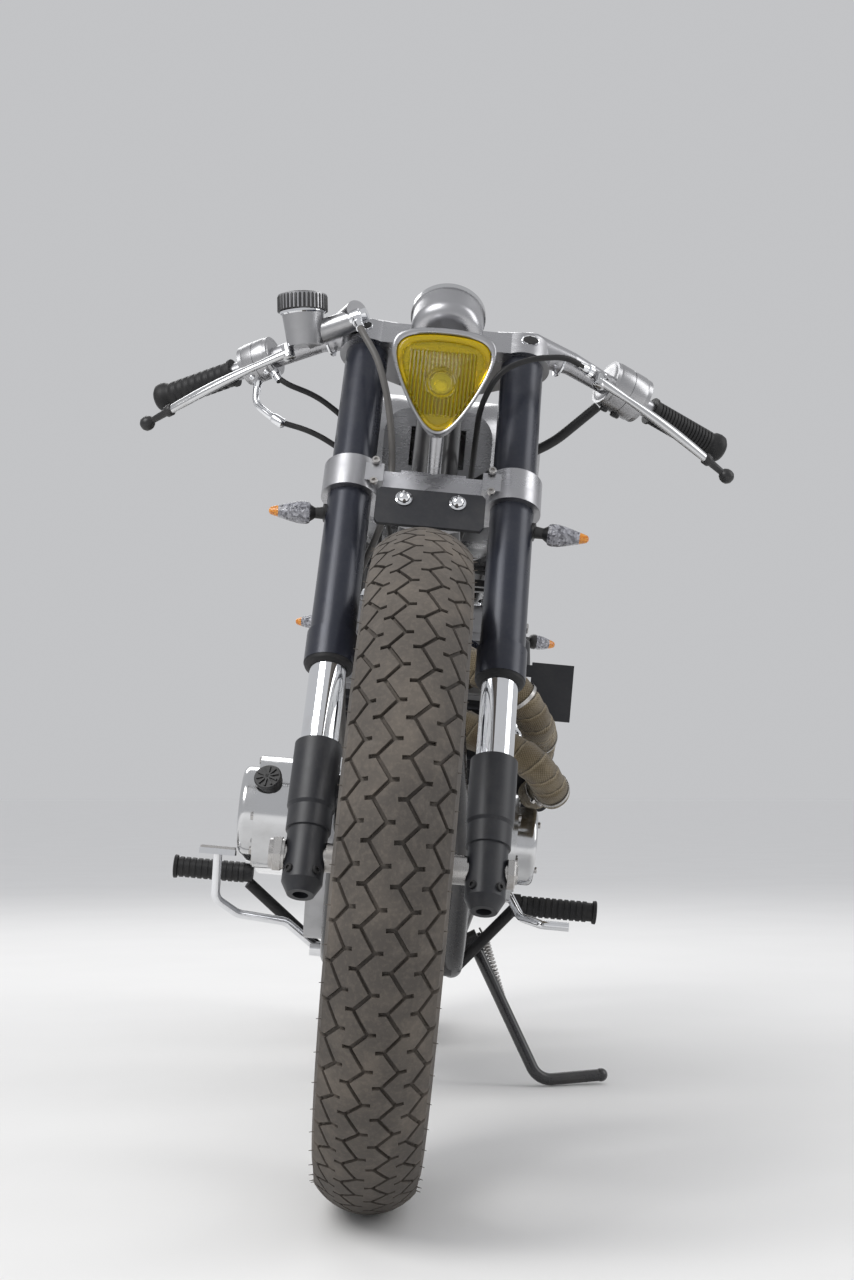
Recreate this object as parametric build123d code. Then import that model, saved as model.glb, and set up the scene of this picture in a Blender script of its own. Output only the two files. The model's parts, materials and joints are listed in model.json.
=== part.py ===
"""Cafe racer motorcycle, parked on its side stand.

It is drawn upright, in millimetres: the ground lies at z = 0 under the front
axle, -Y is forward and +X is the bike's left. At the end everything leans over
onto the side stand.
"""
from build123d import *
from math import atan2, cos, degrees, radians, sin, tan
from functools import lru_cache
import os

# Stance
LEAN = 5.25                 # degrees toward the side stand
RAKE = 27.0                 # degrees of the fork from upright
WHEELBASE = 1400.0
RUNNING_FIT = 0.05          # radial play of a shaft in its bore
SEAT_GAP = 0.3              # between a soft or curved piece and its seat

# Wheels
FRONT_RADIUS = 343.0        # 4.00-19 tyre
FRONT_BEAD = 243.0
REAR_RADIUS = 330.0         # 4.00-18 tyre
REAR_BEAD = 230.0
TYRE_HALF = 53.0
TREAD_HALF = 49.0
TREAD_DROP = 24.0           # from the crown to the tread's edge
BEAD_HALF = 37.0
RIM_LIP = 3.2
RIM_LIP_HEIGHT = 9.0
RIM_WELL = 16.0
SPOKE_RADIUS = 1.8
SPOKES = 36
FRONT_AXLE_RADIUS = 10.0
FRONT_AXLE_BORE = 6.0
FRONT_HUB_HALF = 56.0
FRONT_HUB_RADIUS = 24.0
FRONT_FLANGE_RADIUS = 40.0
FRONT_FLANGE_X = 32.0
REAR_AXLE_RADIUS = 10.0
AXLE_NUT_END = 140.0
AXLE_END = 152.0            # a stub of the axle stands out of each nut
REAR_HUB_HALF = 62.0
REAR_HUB_RADIUS = 30.0
REAR_FLANGE_RADIUS = 84.0
REAR_FLANGE_X = 34.0
FLANGE_WIDTH = 5.0

# Front disc brake, on the bike's right
DISC_RADIUS = 128.0
DISC_INNER = 92.0
DISC_WIDTH = 5.0
DISC_X = -49.0

# Fork, measured along the legs from the front axle
LEG_X = 92.5
STEM_OFFSET = 42.0          # the steering axis lies this far behind the legs
TUBE_RADIUS = 25.0
TUBE_BOTTOM = 226.0
TUBE_TOP = 676.0
SEAL_RADIUS = 27.5
SEAL_TOP = 263.0
STANCHION_RADIUS = 20.0
STANCHION_TOP = 300.0
STANCHION_BOTTOM = 60.0
SLEEVE_RADIUS = 25.0
SLEEVE_TOP = 126.5
SLEEVE_BOTTOM = 50.0
NECK_RADIUS = 23.3
NECK_BOTTOM = 26.0
AXLE_BLOCK_HALF = 21.0
AXLE_BLOCK_BOTTOM = -43.5
YOKE_BOTTOM = 446.0
YOKE_TOP = 487.0
YOKE_PLATE_BOTTOM = 455.0
YOKE_PLATE_TOP = 479.0
YOKE_RADIUS = 32.5
YOKE_RECESS = 18.0
TOP_YOKE_BOTTOM = 656.0
TOP_YOKE_TOP = 686.0
HOSE_X = -48.0
HOSE_RADIUS = 4.0
STEM_RADIUS = 15.0
STEM_BOSS = 30.0
HEADSTOCK_RADIUS = 27.0
HEADSTOCK_GAP = 3.0

# Handlebars
BAR_RADIUS = 11.0
GRIP_RADIUS = 15.5
GRIP_START = (244.0, 355.0, 909.0)
BAR_END = (338.0, 395.0, 875.0)
BAR_NECK = (150.0, 318.0, 945.0)
BAR_NECK_RADIUS = 14.0
BAR_ROOT = (102.0, 306.0, 956.0)
BAR_ROOT_RADIUS = 19.0
LEVER_PIVOT = (182.0, 270.0, 918.0)
CLUTCH_START = (170.0, 266.0, 927.0)
LEVER_BALL = (350.0, 330.0, 828.0)
LEVER_RADIUS = 6.0
LEVER_BALL_RADIUS = 9.0

# Headlamp, a rounded triangle with its tip down
LAMP_FRONT_Y = 108.0
LAMP_HALF = 66.0
LAMP_TOP = 917.0
LAMP_TIP = 790.0
LAMP_CORNER = 20.0
LAMP_BULGE = 7.0
LAMP_RIM_WIDTH = 6.5
LAMP_RIM_DEPTH = 14.0
LAMP_SHELL_DEPTH = 52.0
LAMP_SHELL_TAPER = 16.0
DIAL_RADIUS = 41.5
DIAL_DEPTH = 46.0
DIAL_CENTRE = (0.0, 222.0, 952.0)
DIAL_TILT = 42.0

# Frame
FRAME_TUBE = 14.0
BACKBONE_RADIUS = 24.0
BACKBONE_ALONG = 596.0      # where the backbone meets the steering head
CRADLE_X = 80.0
CRADLE_Z = 190.0
SEAT_RAIL_Z = 2 * REAR_RADIUS + 98
SEAT_RAIL_X = 96.0
TAIL_Y = WHEELBASE + 50
PIVOT_Y = WHEELBASE - REAR_RADIUS - 155
BACKBONE_END = (0.0, PIVOT_Y - 55, SEAT_RAIL_Z + 7)
PIVOT_Z = 330.0
ARM_X = 110.0
ARM_RADIUS = 18.0
SHOCK_X = 150.0
SHOCK_TOP = (WHEELBASE - 185, SEAT_RAIL_Z - 58)
SHOCK_FOOT = (WHEELBASE - 70, REAR_RADIUS + 15)
SHOCK_STUD = 7.0
PIVOT_BOSS = 21.0
PIVOT_BOLT = 8.0
UPRIGHT_X = 104.0           # the frame's uprights stand outside the chain

# Engine
CRANK_Y = PIVOT_Y - 270
CRANK_Z = 345.0
BLOCK_HALF = 112.0
BARREL_BOTTOM = 433.0
BARREL_TOP = 545.0
HEAD_TOP = 635.0
COVER_TOP = 672.0
PORT_X = 55.0
PORT_Y = CRANK_Y - 79
PORT_Z = 590.0
CHAIN_X = 75.0
CHAIN_WIDTH = 14.0
DRIVE_Y = PIVOT_Y - 65
DRIVE_RADIUS = 38.0
DRIVEN_RADIUS = 84.0
CHAIN_GAP = 5.0
CHAIN_THICKNESS = 13.0
PIPE_RADIUS = 21.0
SILENCER_RADIUS = 38.0

# Tank and seat
TANK_HALF = 134.0
TANK_FRONT = 392.0
TANK_BOTTOM = SEAT_RAIL_Z - 13
TANK_HEIGHT = 180.0
SEAT_HALF = 112.0
LIGHTS_X = 112.0
LIGHTS_Z = SEAT_RAIL_Z - 46

# Side stand, its foot measured where the leaning bike touches the floor
STAND_PIVOT = (114.0, PIVOT_Y - 70, 209.0)
STAND_KNEE_FLOOR = (222.0, PIVOT_Y - 115)
STAND_BALL_FLOOR = (313.0, PIVOT_Y - 89)
STAND_RADIUS = 8.5
STAND_BALL_RADIUS = 9.5
STAND_BALL_LIFT = 3.0
STAND_TILT = 30.6           # degrees of its hinge bolt above level
STAND_SWING = 100.0
STAND_BOLT = 6.0

SIN_RAKE, COS_RAKE = sin(radians(RAKE)), cos(radians(RAKE))
SIN_LEAN, COS_LEAN = sin(radians(LEAN)), cos(radians(LEAN))
FORK = Plane(origin=(0, 0, FRONT_RADIUS), x_dir=(1, 0, 0), z_dir=(0, SIN_RAKE, COS_RAKE))
REAR_AXLE = (0.0, WHEELBASE, REAR_RADIUS)
GUARD_RADIUS = REAR_RADIUS + 20


def fork_point(x, back, along):
    """A point given along the fork, and behind the plane of its legs."""
    return (x, along * SIN_RAKE + back * COS_RAKE,
            FRONT_RADIUS + along * COS_RAKE - back * SIN_RAKE)


def on_fork(shape):
    return FORK.location * shape


def upright(x, y, height):
    """The upright place of a point that the leaning bike holds over the floor."""
    return (x * COS_LEAN - height * SIN_LEAN, y, x * SIN_LEAN + height * COS_LEAN)


def mirrored(shape):
    return mirror(shape, about=Plane.YZ)


def pair(shape):
    return [shape, mirrored(shape)]


def rod(start, end, radius, end_radius=None):
    """A round bar, or a cone, from one point to another."""
    start, end = Vector(*start), Vector(*end)
    run = end - start
    standing = (Align.CENTER, Align.CENTER, Align.MIN)
    if end_radius is None or abs(end_radius - radius) < 0.001:
        body = Cylinder(radius, run.length, align=standing)
    else:
        body = Cone(radius, end_radius, run.length, align=standing)
    return Plane(origin=start, z_dir=run).location * body


def turned(start, end, profile):
    """A turned piece along a line: its profile lists distances and radii."""
    start = Vector(*start)
    run = Vector(*end) - start
    edge = [(radius, along) for along, radius in profile]
    outline = [(0, profile[0][0])] + edge + [(0, profile[-1][0])]
    body = revolve(Plane.XZ * make_face(Polyline(*outline, close=True)), axis=Axis.Z)
    return Plane(origin=start, z_dir=run).location * body


def tube(points, radius, bends):
    """A round bar swept along straight runs and arcs."""
    path = FilletPolyline(*points, radius=bends)
    section = Plane(origin=path @ 0, z_dir=path % 0) * Circle(radius)
    return sweep(section, path=path)


def cord(points, radius):
    """A hose or cable whose arcs are as large as its straight runs allow."""
    ways = [Vector(*end) - Vector(*start) for start, end in zip(points, points[1:])]
    bends = []
    for before, after in zip(ways, ways[1:]):
        half_turn = radians(before.get_angle(after) / 2)
        bends.append(0.45 * min(before.length, after.length) / tan(half_turn))
    print("cord bends", [round(bend) for bend in bends])
    return tube(points, radius, bends)


def block(x, y, z):
    """A box from its three spans."""
    spans = (x, y, z)
    centre = [sum(span) / 2 for span in spans]
    return Pos(*centre) * Box(*[span[1] - span[0] for span in spans])


def side_hull(circles, x0, x1):
    """A plate across the bike: the hull of circles given as (y, z, radius)."""
    edges = [Pos(y, z) * Circle(r).edge() for y, z, r in circles]
    face = make_face(make_hull(edges).edges())
    return extrude(Plane.YZ.offset(x0) * face, amount=x1 - x0)


def tyre(radius, bead):
    """The tyre's section, turned about its axle."""
    mid = (radius + bead) / 2
    edge = radius - TREAD_DROP
    lip = bead + RIM_LIP_HEIGHT
    right = [Line((BEAD_HALF, bead), (BEAD_HALF, lip)),
             ThreePointArc((BEAD_HALF, lip), (TYRE_HALF, mid), (TREAD_HALF + 1, edge - 4)),
             Line((TREAD_HALF + 1, edge - 4), (TREAD_HALF, edge))]
    crown = ThreePointArc((TREAD_HALF, edge), (0, radius), (-TREAD_HALF, edge))
    left = [mirror(line, about=Plane.YZ) for line in right]
    base = Line((BEAD_HALF, bead), (-BEAD_HALF, bead))
    face = make_face(right + [crown] + left + [base])
    return revolve(face, axis=Axis.X)


def rim_section(bead):
    outer = bead - SEAT_GAP
    inside = BEAD_HALF + SEAT_GAP
    outside = inside + RIM_LIP
    points = [(inside, outer), (inside, bead + RIM_LIP_HEIGHT), (outside, bead + RIM_LIP_HEIGHT),
              (outside, outer - 4), (20, outer - 5), (13, outer - RIM_WELL)]
    return points + [(-x, r) for x, r in reversed(points)]


def wheel_rim(bead):
    face = make_face(Polyline(*rim_section(bead), close=True))
    return revolve(face, axis=Axis.X)


def spokes(bead, flange_radius, flange_x):
    """Crossed spokes from the hub's flanges to the rim's well."""
    hook = flange_radius - 4
    seat = bead - RIM_WELL + 2
    step = 360 / SPOKES
    bars = []
    for number in range(SPOKES):
        side = 1 if number % 2 else -1
        sweep_back = 1 if (number // 2) % 2 else -1
        rim_angle = radians(number * step)
        hub_angle = rim_angle + sweep_back * radians(64)
        start = (side * flange_x, hook * cos(hub_angle), hook * sin(hub_angle))
        end = (side * 5, seat * cos(rim_angle), seat * sin(rim_angle))
        bars.append(rod(start, end, SPOKE_RADIUS))
    return bars


def hub(half, radius, flange_radius, flange_x, bore):
    body = along_x(-half, half, radius)
    for middle in (-flange_x, flange_x):
        body += along_x(middle - FLANGE_WIDTH / 2, middle + FLANGE_WIDTH / 2, flange_radius)
    return body - along_x(-half - 1, half + 1, bore)


def along_x(x0, x1, radius, y=0.0, z=0.0):
    """A round bar across the bike."""
    return Pos((x0 + x1) / 2, y, z) * Rot(0, 90, 0) * Cylinder(radius, x1 - x0)


def spoked_wheel(bead, wheel_hub, flange_radius, flange_x, bore):
    wheel = wheel_rim(bead) + wheel_hub + spokes(bead, flange_radius, flange_x)
    return wheel - along_x(-REAR_HUB_HALF - 1, REAR_HUB_HALF + 1, bore)


def front_wheel():
    bore = FRONT_AXLE_RADIUS + RUNNING_FIT
    place = Pos(0, 0, FRONT_RADIUS)
    core = hub(FRONT_HUB_HALF, FRONT_HUB_RADIUS, FRONT_FLANGE_RADIUS, FRONT_FLANGE_X, bore)
    wheel = spoked_wheel(FRONT_BEAD, core, FRONT_FLANGE_RADIUS, FRONT_FLANGE_X, bore)
    disc_near, disc_far = DISC_X + DISC_WIDTH / 2, DISC_X - DISC_WIDTH / 2
    disc = along_x(disc_far, disc_near, DISC_RADIUS) - along_x(disc_far, disc_near, DISC_INNER)
    carrier = along_x(disc_far, disc_near, DISC_INNER) - along_x(disc_far, disc_near, FRONT_HUB_RADIUS)
    for number in range(6):
        angle = radians(60 * number)
        carrier -= along_x(disc_far, disc_near, 17, 58 * cos(angle), 58 * sin(angle))
    return {"front_tyre": place * tyre(FRONT_RADIUS, FRONT_BEAD),
            "front_spoked_wheel": place * wheel,
            "front_brake_disc": place * (disc + carrier)}


def rear_wheel():
    bore = REAR_AXLE_RADIUS + RUNNING_FIT
    place = Pos(*REAR_AXLE)
    core = hub(REAR_HUB_HALF, REAR_HUB_RADIUS, REAR_FLANGE_RADIUS, REAR_FLANGE_X, bore)
    core += along_x(-REAR_FLANGE_X, REAR_FLANGE_X, REAR_FLANGE_RADIUS - 9)
    wheel = spoked_wheel(REAR_BEAD, core, REAR_FLANGE_RADIUS, REAR_FLANGE_X, bore)
    return {"rear_tyre": place * tyre(REAR_RADIUS, REAR_BEAD),
            "rear_spoked_wheel": place * wheel,
            "rear_sprocket": place * rear_sprocket()}


def rear_sprocket():
    x0, x1 = CHAIN_X - 3, CHAIN_X + 3
    plate = along_x(x0, x1, DRIVEN_RADIUS)
    carrier = along_x(REAR_HUB_HALF, x0, 45)
    bore = along_x(REAR_HUB_HALF, x1, REAR_AXLE_RADIUS + 4)
    for number in range(5):
        angle = radians(72 * number)
        plate -= along_x(x0, x1, 13, 63 * cos(angle), 63 * sin(angle))
    return plate + carrier - bore


def caliper():
    """The front brake's caliper on a lug behind the right leg, astride its disc."""
    body = block((-67, -36), (28, 96), (58, 116))
    body = fillet(body.edges().filter_by(Axis.X), 9)
    body -= along_x(DISC_X - 5, DISC_X + 5, DISC_RADIUS + 3)
    body += block((-84, -60), (16, 40), (76, 102))
    sleeve = Pos(-LEG_X, 0, 90) * Cylinder(SLEEVE_RADIUS + RUNNING_FIT, 90)
    return {"front_brake_caliper": on_fork(body - sleeve)}


def brake_hose():
    """From the master cylinder through the lower yoke and down behind the right leg."""
    top = [(-107, 256, 960), (-98, 232, 941), (-76, 218, 908), (-60, 214, 862), (-51, 216, 815)]
    along_leg = [(HOSE_X, 0, 492), (HOSE_X, 0, 438), (-62, 22, 398), (-79, 36, 352), (-80, 37, 292),
                 (-79, 38, 230), (-72, 48, 172), (-62, 52, 117)]
    points = top + [fork_point(*point) for point in along_leg]
    return {"front_brake_hose": cord(points, HOSE_RADIUS)}


def yoke_shield():
    """The black plate below the lower yoke, with its two bolts."""
    plate = block((-48, 48), (-40, -36), (404, 444))
    plate += block((-48, 48), (-40, 10), (YOKE_PLATE_BOTTOM - 4, YOKE_PLATE_BOTTOM))
    plate += block((-48, 48), (-40, -36), (404, YOKE_PLATE_BOTTOM))
    bolts = [Pos(side * 30, -41.5, 424) * Rot(90, 0, 0) * Cylinder(6, 4) for side in (-1, 1)]
    plate += bolts
    plate -= Pos(HOSE_X, 0, 430) * Cylinder(HOSE_RADIUS + 2, 100)
    return {"yoke_shield": on_fork(plate)}


def fork_legs():
    def leg(low, high, radius):
        return Pos(LEG_X, 0, (low + high) / 2) * Cylinder(radius, high - low)

    bore = STANCHION_RADIUS + RUNNING_FIT
    outer = leg(TUBE_BOTTOM, TUBE_TOP, TUBE_RADIUS) + leg(TUBE_BOTTOM, SEAL_TOP, SEAL_RADIUS)
    outer -= leg(TUBE_BOTTOM, STANCHION_TOP, bore)
    stanchion = leg(STANCHION_BOTTOM, STANCHION_TOP, STANCHION_RADIUS)
    profile = [(AXLE_BLOCK_BOTTOM, AXLE_BLOCK_HALF - 7), (AXLE_BLOCK_BOTTOM + 13, AXLE_BLOCK_HALF),
               (NECK_BOTTOM, AXLE_BLOCK_HALF), (NECK_BOTTOM + 1, NECK_RADIUS), (SLEEVE_BOTTOM, NECK_RADIUS),
               (SLEEVE_BOTTOM + 4, SLEEVE_RADIUS), (SLEEVE_TOP, SLEEVE_RADIUS)]
    sleeve = turned((LEG_X, 0, 0), (LEG_X, 0, 1), profile)
    sleeve -= leg(STANCHION_BOTTOM, SLEEVE_TOP + 1, bore)
    sleeve -= leg(AXLE_BLOCK_BOTTOM - 1, AXLE_BLOCK_BOTTOM + 12, 8)
    sleeve -= along_x(0, 2 * LEG_X, FRONT_AXLE_RADIUS + RUNNING_FIT)
    return {"fork_outer_tubes": [on_fork(s) for s in pair(outer)],
            "fork_stanchions": [on_fork(s) for s in pair(stanchion)],
            "fork_axle_sleeves": [on_fork(s) for s in pair(sleeve)]}


def front_axle():
    inner_face = LEG_X - AXLE_BLOCK_HALF
    axle = along_x(-129, 124, FRONT_AXLE_RADIUS)
    axle += along_x(-129, -LEG_X - AXLE_BLOCK_HALF, 15)
    axle -= along_x(-130, 125, FRONT_AXLE_BORE)
    spacer = along_x(FRONT_HUB_HALF + SEAT_GAP, inner_face, 15) - along_x(0, LEG_X, FRONT_AXLE_RADIUS)
    place = Pos(0, 0, FRONT_RADIUS)
    return {"front_axle": place * (axle + spacer + mirrored(spacer))}


def yoke_plate(low, high):
    circles = [Pos(x, y) * Circle(r) for x, y, r in
               ((-LEG_X, 0, YOKE_RADIUS - 4), (LEG_X, 0, YOKE_RADIUS - 4), (0, STEM_OFFSET, STEM_BOSS))]
    face = make_face(make_hull([circle.edge() for circle in circles]).edges())
    return extrude(Pos(0, 0, low) * face, amount=high - low)


def lower_yoke():
    yoke = yoke_plate(YOKE_PLATE_BOTTOM, YOKE_PLATE_TOP)
    recess_x = LEG_X - YOKE_RADIUS - 4
    yoke -= block((-recess_x, recess_x), (-YOKE_RADIUS, YOKE_RECESS - YOKE_RADIUS), (YOKE_BOTTOM, YOKE_TOP))
    middle = (YOKE_BOTTOM + YOKE_TOP) / 2
    for side in (-1, 1):
        clamp = Pos(side * LEG_X, 0, middle) * Cylinder(YOKE_RADIUS, YOKE_TOP - YOKE_BOTTOM)
        yoke += clamp
    for side in (-1, 1):
        yoke -= Pos(side * LEG_X, 0, middle) * Cylinder(TUBE_RADIUS + RUNNING_FIT, 100)
    yoke -= Pos(HOSE_X, 0, middle) * Cylinder(HOSE_RADIUS + 2, 100)
    stem_top = TOP_YOKE_TOP
    stem = Cylinder(STEM_RADIUS, stem_top - YOKE_PLATE_TOP)
    yoke += Pos(0, STEM_OFFSET, (YOKE_PLATE_TOP + stem_top) / 2) * stem
    return {"lower_yoke": on_fork(yoke) + lamp_bracket()}


def handlebars():
    plate = yoke_plate(TOP_YOKE_BOTTOM, TOP_YOKE_TOP)
    middle = (TOP_YOKE_BOTTOM + TOP_YOKE_TOP) / 2
    for side in (-1, 1):
        plate += Pos(side * LEG_X, 0, middle) * Cylinder(YOKE_RADIUS, TOP_YOKE_TOP - TOP_YOKE_BOTTOM)
    plate -= Pos(0, STEM_OFFSET, middle) * Cylinder(STEM_RADIUS + RUNNING_FIT, 100)
    bars = on_fork(plate)
    for side in (-1, 1):
        root = (side * BAR_ROOT[0], *BAR_ROOT[1:])
        neck = (side * BAR_NECK[0], *BAR_NECK[1:])
        grip = (side * GRIP_START[0], *GRIP_START[1:])
        end = (side * BAR_END[0], *BAR_END[1:])
        inner = fork_point(side * (LEG_X - 32), 0, TOP_YOKE_TOP + 4)
        bars += rod(inner, root, BAR_ROOT_RADIUS - 3, BAR_ROOT_RADIUS)
        bars += Pos(*root) * Sphere(BAR_ROOT_RADIUS)
        bars += rod(root, neck, BAR_ROOT_RADIUS, BAR_NECK_RADIUS)
        bars += Pos(*neck) * Sphere(BAR_NECK_RADIUS)
        bars += rod(neck, grip, BAR_NECK_RADIUS, BAR_RADIUS)
        bars += Pos(*grip) * Sphere(BAR_RADIUS)
        bars += rod(grip, end, BAR_RADIUS)
    for side in (-1, 1):
        bars -= on_fork(Pos(side * LEG_X, 0, TUBE_TOP - 50) * Cylinder(TUBE_RADIUS + RUNNING_FIT, 100))
    bars += rod((0, 240, 934), fork_point(0, STEM_OFFSET - 40, TOP_YOKE_TOP - 8), 7)
    bars -= instrument()["instrument"]
    return {"handlebars": bars}


def grips():
    start, end = Vector(*GRIP_START), Vector(*BAR_END)
    way = (end - start).normalized()
    first = start + way * (BAR_RADIUS + 1)
    last = end + way * 14
    grip = rod(first, end, GRIP_RADIUS) + rod(end, last, GRIP_RADIUS + 1.5)
    grip -= rod(start, end, BAR_RADIUS + RUNNING_FIT)
    return {"handlebar_grips": pair(grip)}


def levers():
    pivot, ball = Vector(*LEVER_PIVOT), Vector(*LEVER_BALL)
    knuckle = pivot + (ball - pivot) * 0.18
    lever = rod(pivot, knuckle, LEVER_RADIUS + 2, LEVER_RADIUS)
    lever += rod(knuckle, ball, LEVER_RADIUS, LEVER_RADIUS - 1.5)
    lever += Pos(*ball) * Sphere(LEVER_BALL_RADIUS)
    return {"brake_and_clutch_levers": pair(lever)}


def lamp_outline(grow):
    """The headlamp's rounded triangle, seen from the front, grown outward."""
    half, top, tip = LAMP_HALF + grow, LAMP_TOP + grow, LAMP_TIP - grow
    left, right, low = (-half, top), (half, top), (0, tip)
    middle = (top + tip) / 2
    lines = [ThreePointArc(left, (0, top + LAMP_BULGE), right),
             ThreePointArc(right, (half / 2 + LAMP_BULGE, middle - LAMP_BULGE / 2), low),
             ThreePointArc(low, (-half / 2 - LAMP_BULGE, middle - LAMP_BULGE / 2), left)]
    face = make_face(lines)
    return fillet(face.vertices(), LAMP_CORNER + grow)


def headlamp():
    front = Plane.XZ.offset(-LAMP_FRONT_Y)
    back = Plane.XZ.offset(-LAMP_FRONT_Y - LAMP_RIM_DEPTH)
    rim = extrude(front * lamp_outline(0), amount=-LAMP_RIM_DEPTH)
    rim -= extrude(front * lamp_outline(-LAMP_RIM_WIDTH), amount=-LAMP_RIM_DEPTH)
    lens = extrude(front * lamp_outline(-LAMP_RIM_WIDTH - RUNNING_FIT), amount=-LAMP_RIM_DEPTH)
    end = Plane.XZ.offset(-LAMP_FRONT_Y - LAMP_RIM_DEPTH - LAMP_SHELL_DEPTH)
    shell = loft([back * lamp_outline(-2), end * lamp_outline(-2 - LAMP_SHELL_TAPER)])
    return {"headlamp_shell": rim + shell, "headlamp_lens": lens}


def lamp_bracket():
    """A foot on the lower yoke and a bent post behind the headlamp."""
    foot = on_fork(block((-37, 37), (-12, 14), (YOKE_PLATE_TOP, YOKE_PLATE_TOP + 5)))
    shell_back = LAMP_FRONT_Y + LAMP_RIM_DEPTH + LAMP_SHELL_DEPTH
    low, high = fork_point(0, 0, YOKE_PLATE_TOP + 2), (0, shell_back + 16, 862)
    return foot + rod(low, high, 8) + Pos(*high) * Sphere(8) + rod(high, (0, shell_back, 862), 8)


def instrument():
    can = Cylinder(DIAL_RADIUS, DIAL_DEPTH)
    can = fillet(can.edges().group_by(Axis.Z)[0], 16)
    can = Pos(*DIAL_CENTRE) * Rot(-DIAL_TILT, 0, 0) * can
    return {"instrument": can}


@lru_cache
def frame():
    headstock_low, headstock_high = YOKE_PLATE_TOP + HEADSTOCK_GAP, TOP_YOKE_BOTTOM - HEADSTOCK_GAP
    middle = (headstock_low + headstock_high) / 2
    head = Cylinder(HEADSTOCK_RADIUS, headstock_high - headstock_low)
    head_solid = on_fork(Pos(0, STEM_OFFSET, middle) * head)
    stem_way = on_fork(Pos(0, STEM_OFFSET, middle) * Cylinder(STEM_RADIUS + RUNNING_FIT, 400))
    backbone = head_solid + rod(fork_point(0, STEM_OFFSET, BACKBONE_ALONG), BACKBONE_END, BACKBONE_RADIUS)
    backbone -= stem_way
    start = fork_point(16, STEM_OFFSET + 8, headstock_low + 30)
    cradle_points = [start, (CRADLE_X, CRANK_Y - 100, 300), (CRADLE_X, CRANK_Y - 55, CRADLE_Z),
                     (CRADLE_X, PIVOT_Y - 47, CRADLE_Z),
                     (UPRIGHT_X, PIVOT_Y, 262), (UPRIGHT_X, PIVOT_Y, 420),
                     (UPRIGHT_X - 4, PIVOT_Y - 53, SEAT_RAIL_Z)]
    side = tube(cradle_points, FRAME_TUBE, [120, 60, 45, 60, 200])
    side += along_x(UPRIGHT_X - FRAME_TUBE, UPRIGHT_X + FRAME_TUBE, PIVOT_BOSS, PIVOT_Y, PIVOT_Z)
    cradle = side + mirrored(side)
    cradle += along_x(-CRADLE_X, CRADLE_X, FRAME_TUBE - 2, CRANK_Y - 45, CRADLE_Z + 2)
    cradle += along_x(-UPRIGHT_X, UPRIGHT_X, FRAME_TUBE - 2, PIVOT_Y - 35, CRADLE_Z + 4)
    cradle += along_x(-UPRIGHT_X, UPRIGHT_X, FRAME_TUBE - 2, PIVOT_Y - 29, 620)
    cradle += stand_bracket()
    cradle -= along_x(-UPRIGHT_X - 20, UPRIGHT_X + 20, PIVOT_BOLT, PIVOT_Y, PIVOT_Z)
    cradle -= head_solid
    front = PIVOT_Y - 69
    rail_points = [(SEAT_RAIL_X, front, SEAT_RAIL_Z), (SEAT_RAIL_X, TAIL_Y, SEAT_RAIL_Z),
                   (-SEAT_RAIL_X, TAIL_Y, SEAT_RAIL_Z), (-SEAT_RAIL_X, front, SEAT_RAIL_Z)]
    rear = tube(rail_points, FRAME_TUBE, SEAT_RAIL_X - 10)
    rear += along_x(-SEAT_RAIL_X, SEAT_RAIL_X, FRAME_TUBE - 3, PIVOT_Y - 53, SEAT_RAIL_Z)
    shock_y, shock_z = SHOCK_TOP
    for sign in (-1, 1):
        inner, outer = sorted((sign * (SHOCK_X - 30), sign * (SHOCK_X + 20)))
        rear += rod((sign * SEAT_RAIL_X, shock_y, SEAT_RAIL_Z), (sign * (SHOCK_X - 28), shock_y, shock_z), 11)
        rear += along_x(inner, outer, SHOCK_STUD, shock_y, shock_z)
    rear -= backbone
    cradle -= rear
    return {"frame_backbone": backbone, "frame_cradle": cradle, "frame_seat_rails": rear}


def swingarm():
    inner_face = UPRIGHT_X - FRAME_TUBE - SEAT_GAP
    cross_y = PIVOT_Y + 54
    swing = along_x(-inner_face, inner_face, PIVOT_BOSS, PIVOT_Y, PIVOT_Z)
    swing += along_x(-ARM_X, ARM_X, ARM_RADIUS, cross_y, PIVOT_Z)
    arm = rod((ARM_X, cross_y, PIVOT_Z), (ARM_X, WHEELBASE + 40, REAR_RADIUS), ARM_RADIUS)
    arm += rod((50, PIVOT_Y, PIVOT_Z), (50, cross_y, PIVOT_Z), ARM_RADIUS - 3)
    swing += arm + mirrored(arm) + Pos(ARM_X, cross_y, PIVOT_Z) * Sphere(ARM_RADIUS)
    swing += Pos(-ARM_X, cross_y, PIVOT_Z) * Sphere(ARM_RADIUS)
    swing -= along_x(-inner_face - 1, inner_face + 1, PIVOT_BOLT, PIVOT_Y, PIVOT_Z)
    swing -= along_x(-ARM_X - 60, ARM_X + 60, REAR_AXLE_RADIUS + RUNNING_FIT, WHEELBASE, REAR_RADIUS)
    foot_y, foot_z = SHOCK_FOOT
    swing += along_x(ARM_X, SHOCK_X + 20, SHOCK_STUD, foot_y, foot_z)
    swing += along_x(-SHOCK_X - 20, -ARM_X, SHOCK_STUD, foot_y, foot_z)
    axle = along_x(-AXLE_END, AXLE_END, REAR_AXLE_RADIUS, WHEELBASE, REAR_RADIUS)
    spacer_left = along_x(CHAIN_X + 4, ARM_X - ARM_RADIUS, 15, WHEELBASE, REAR_RADIUS)
    spacer_right = along_x(-ARM_X + ARM_RADIUS, -REAR_HUB_HALF - SEAT_GAP, 15, WHEELBASE, REAR_RADIUS)
    axle += spacer_left + spacer_right
    for side in (-1, 1):
        inner, outer = sorted((side * (ARM_X + ARM_RADIUS), side * AXLE_NUT_END))
        axle += along_x(inner, outer, 15, WHEELBASE, REAR_RADIUS)
    return {"swingarm": swing, "rear_axle": axle}


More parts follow.
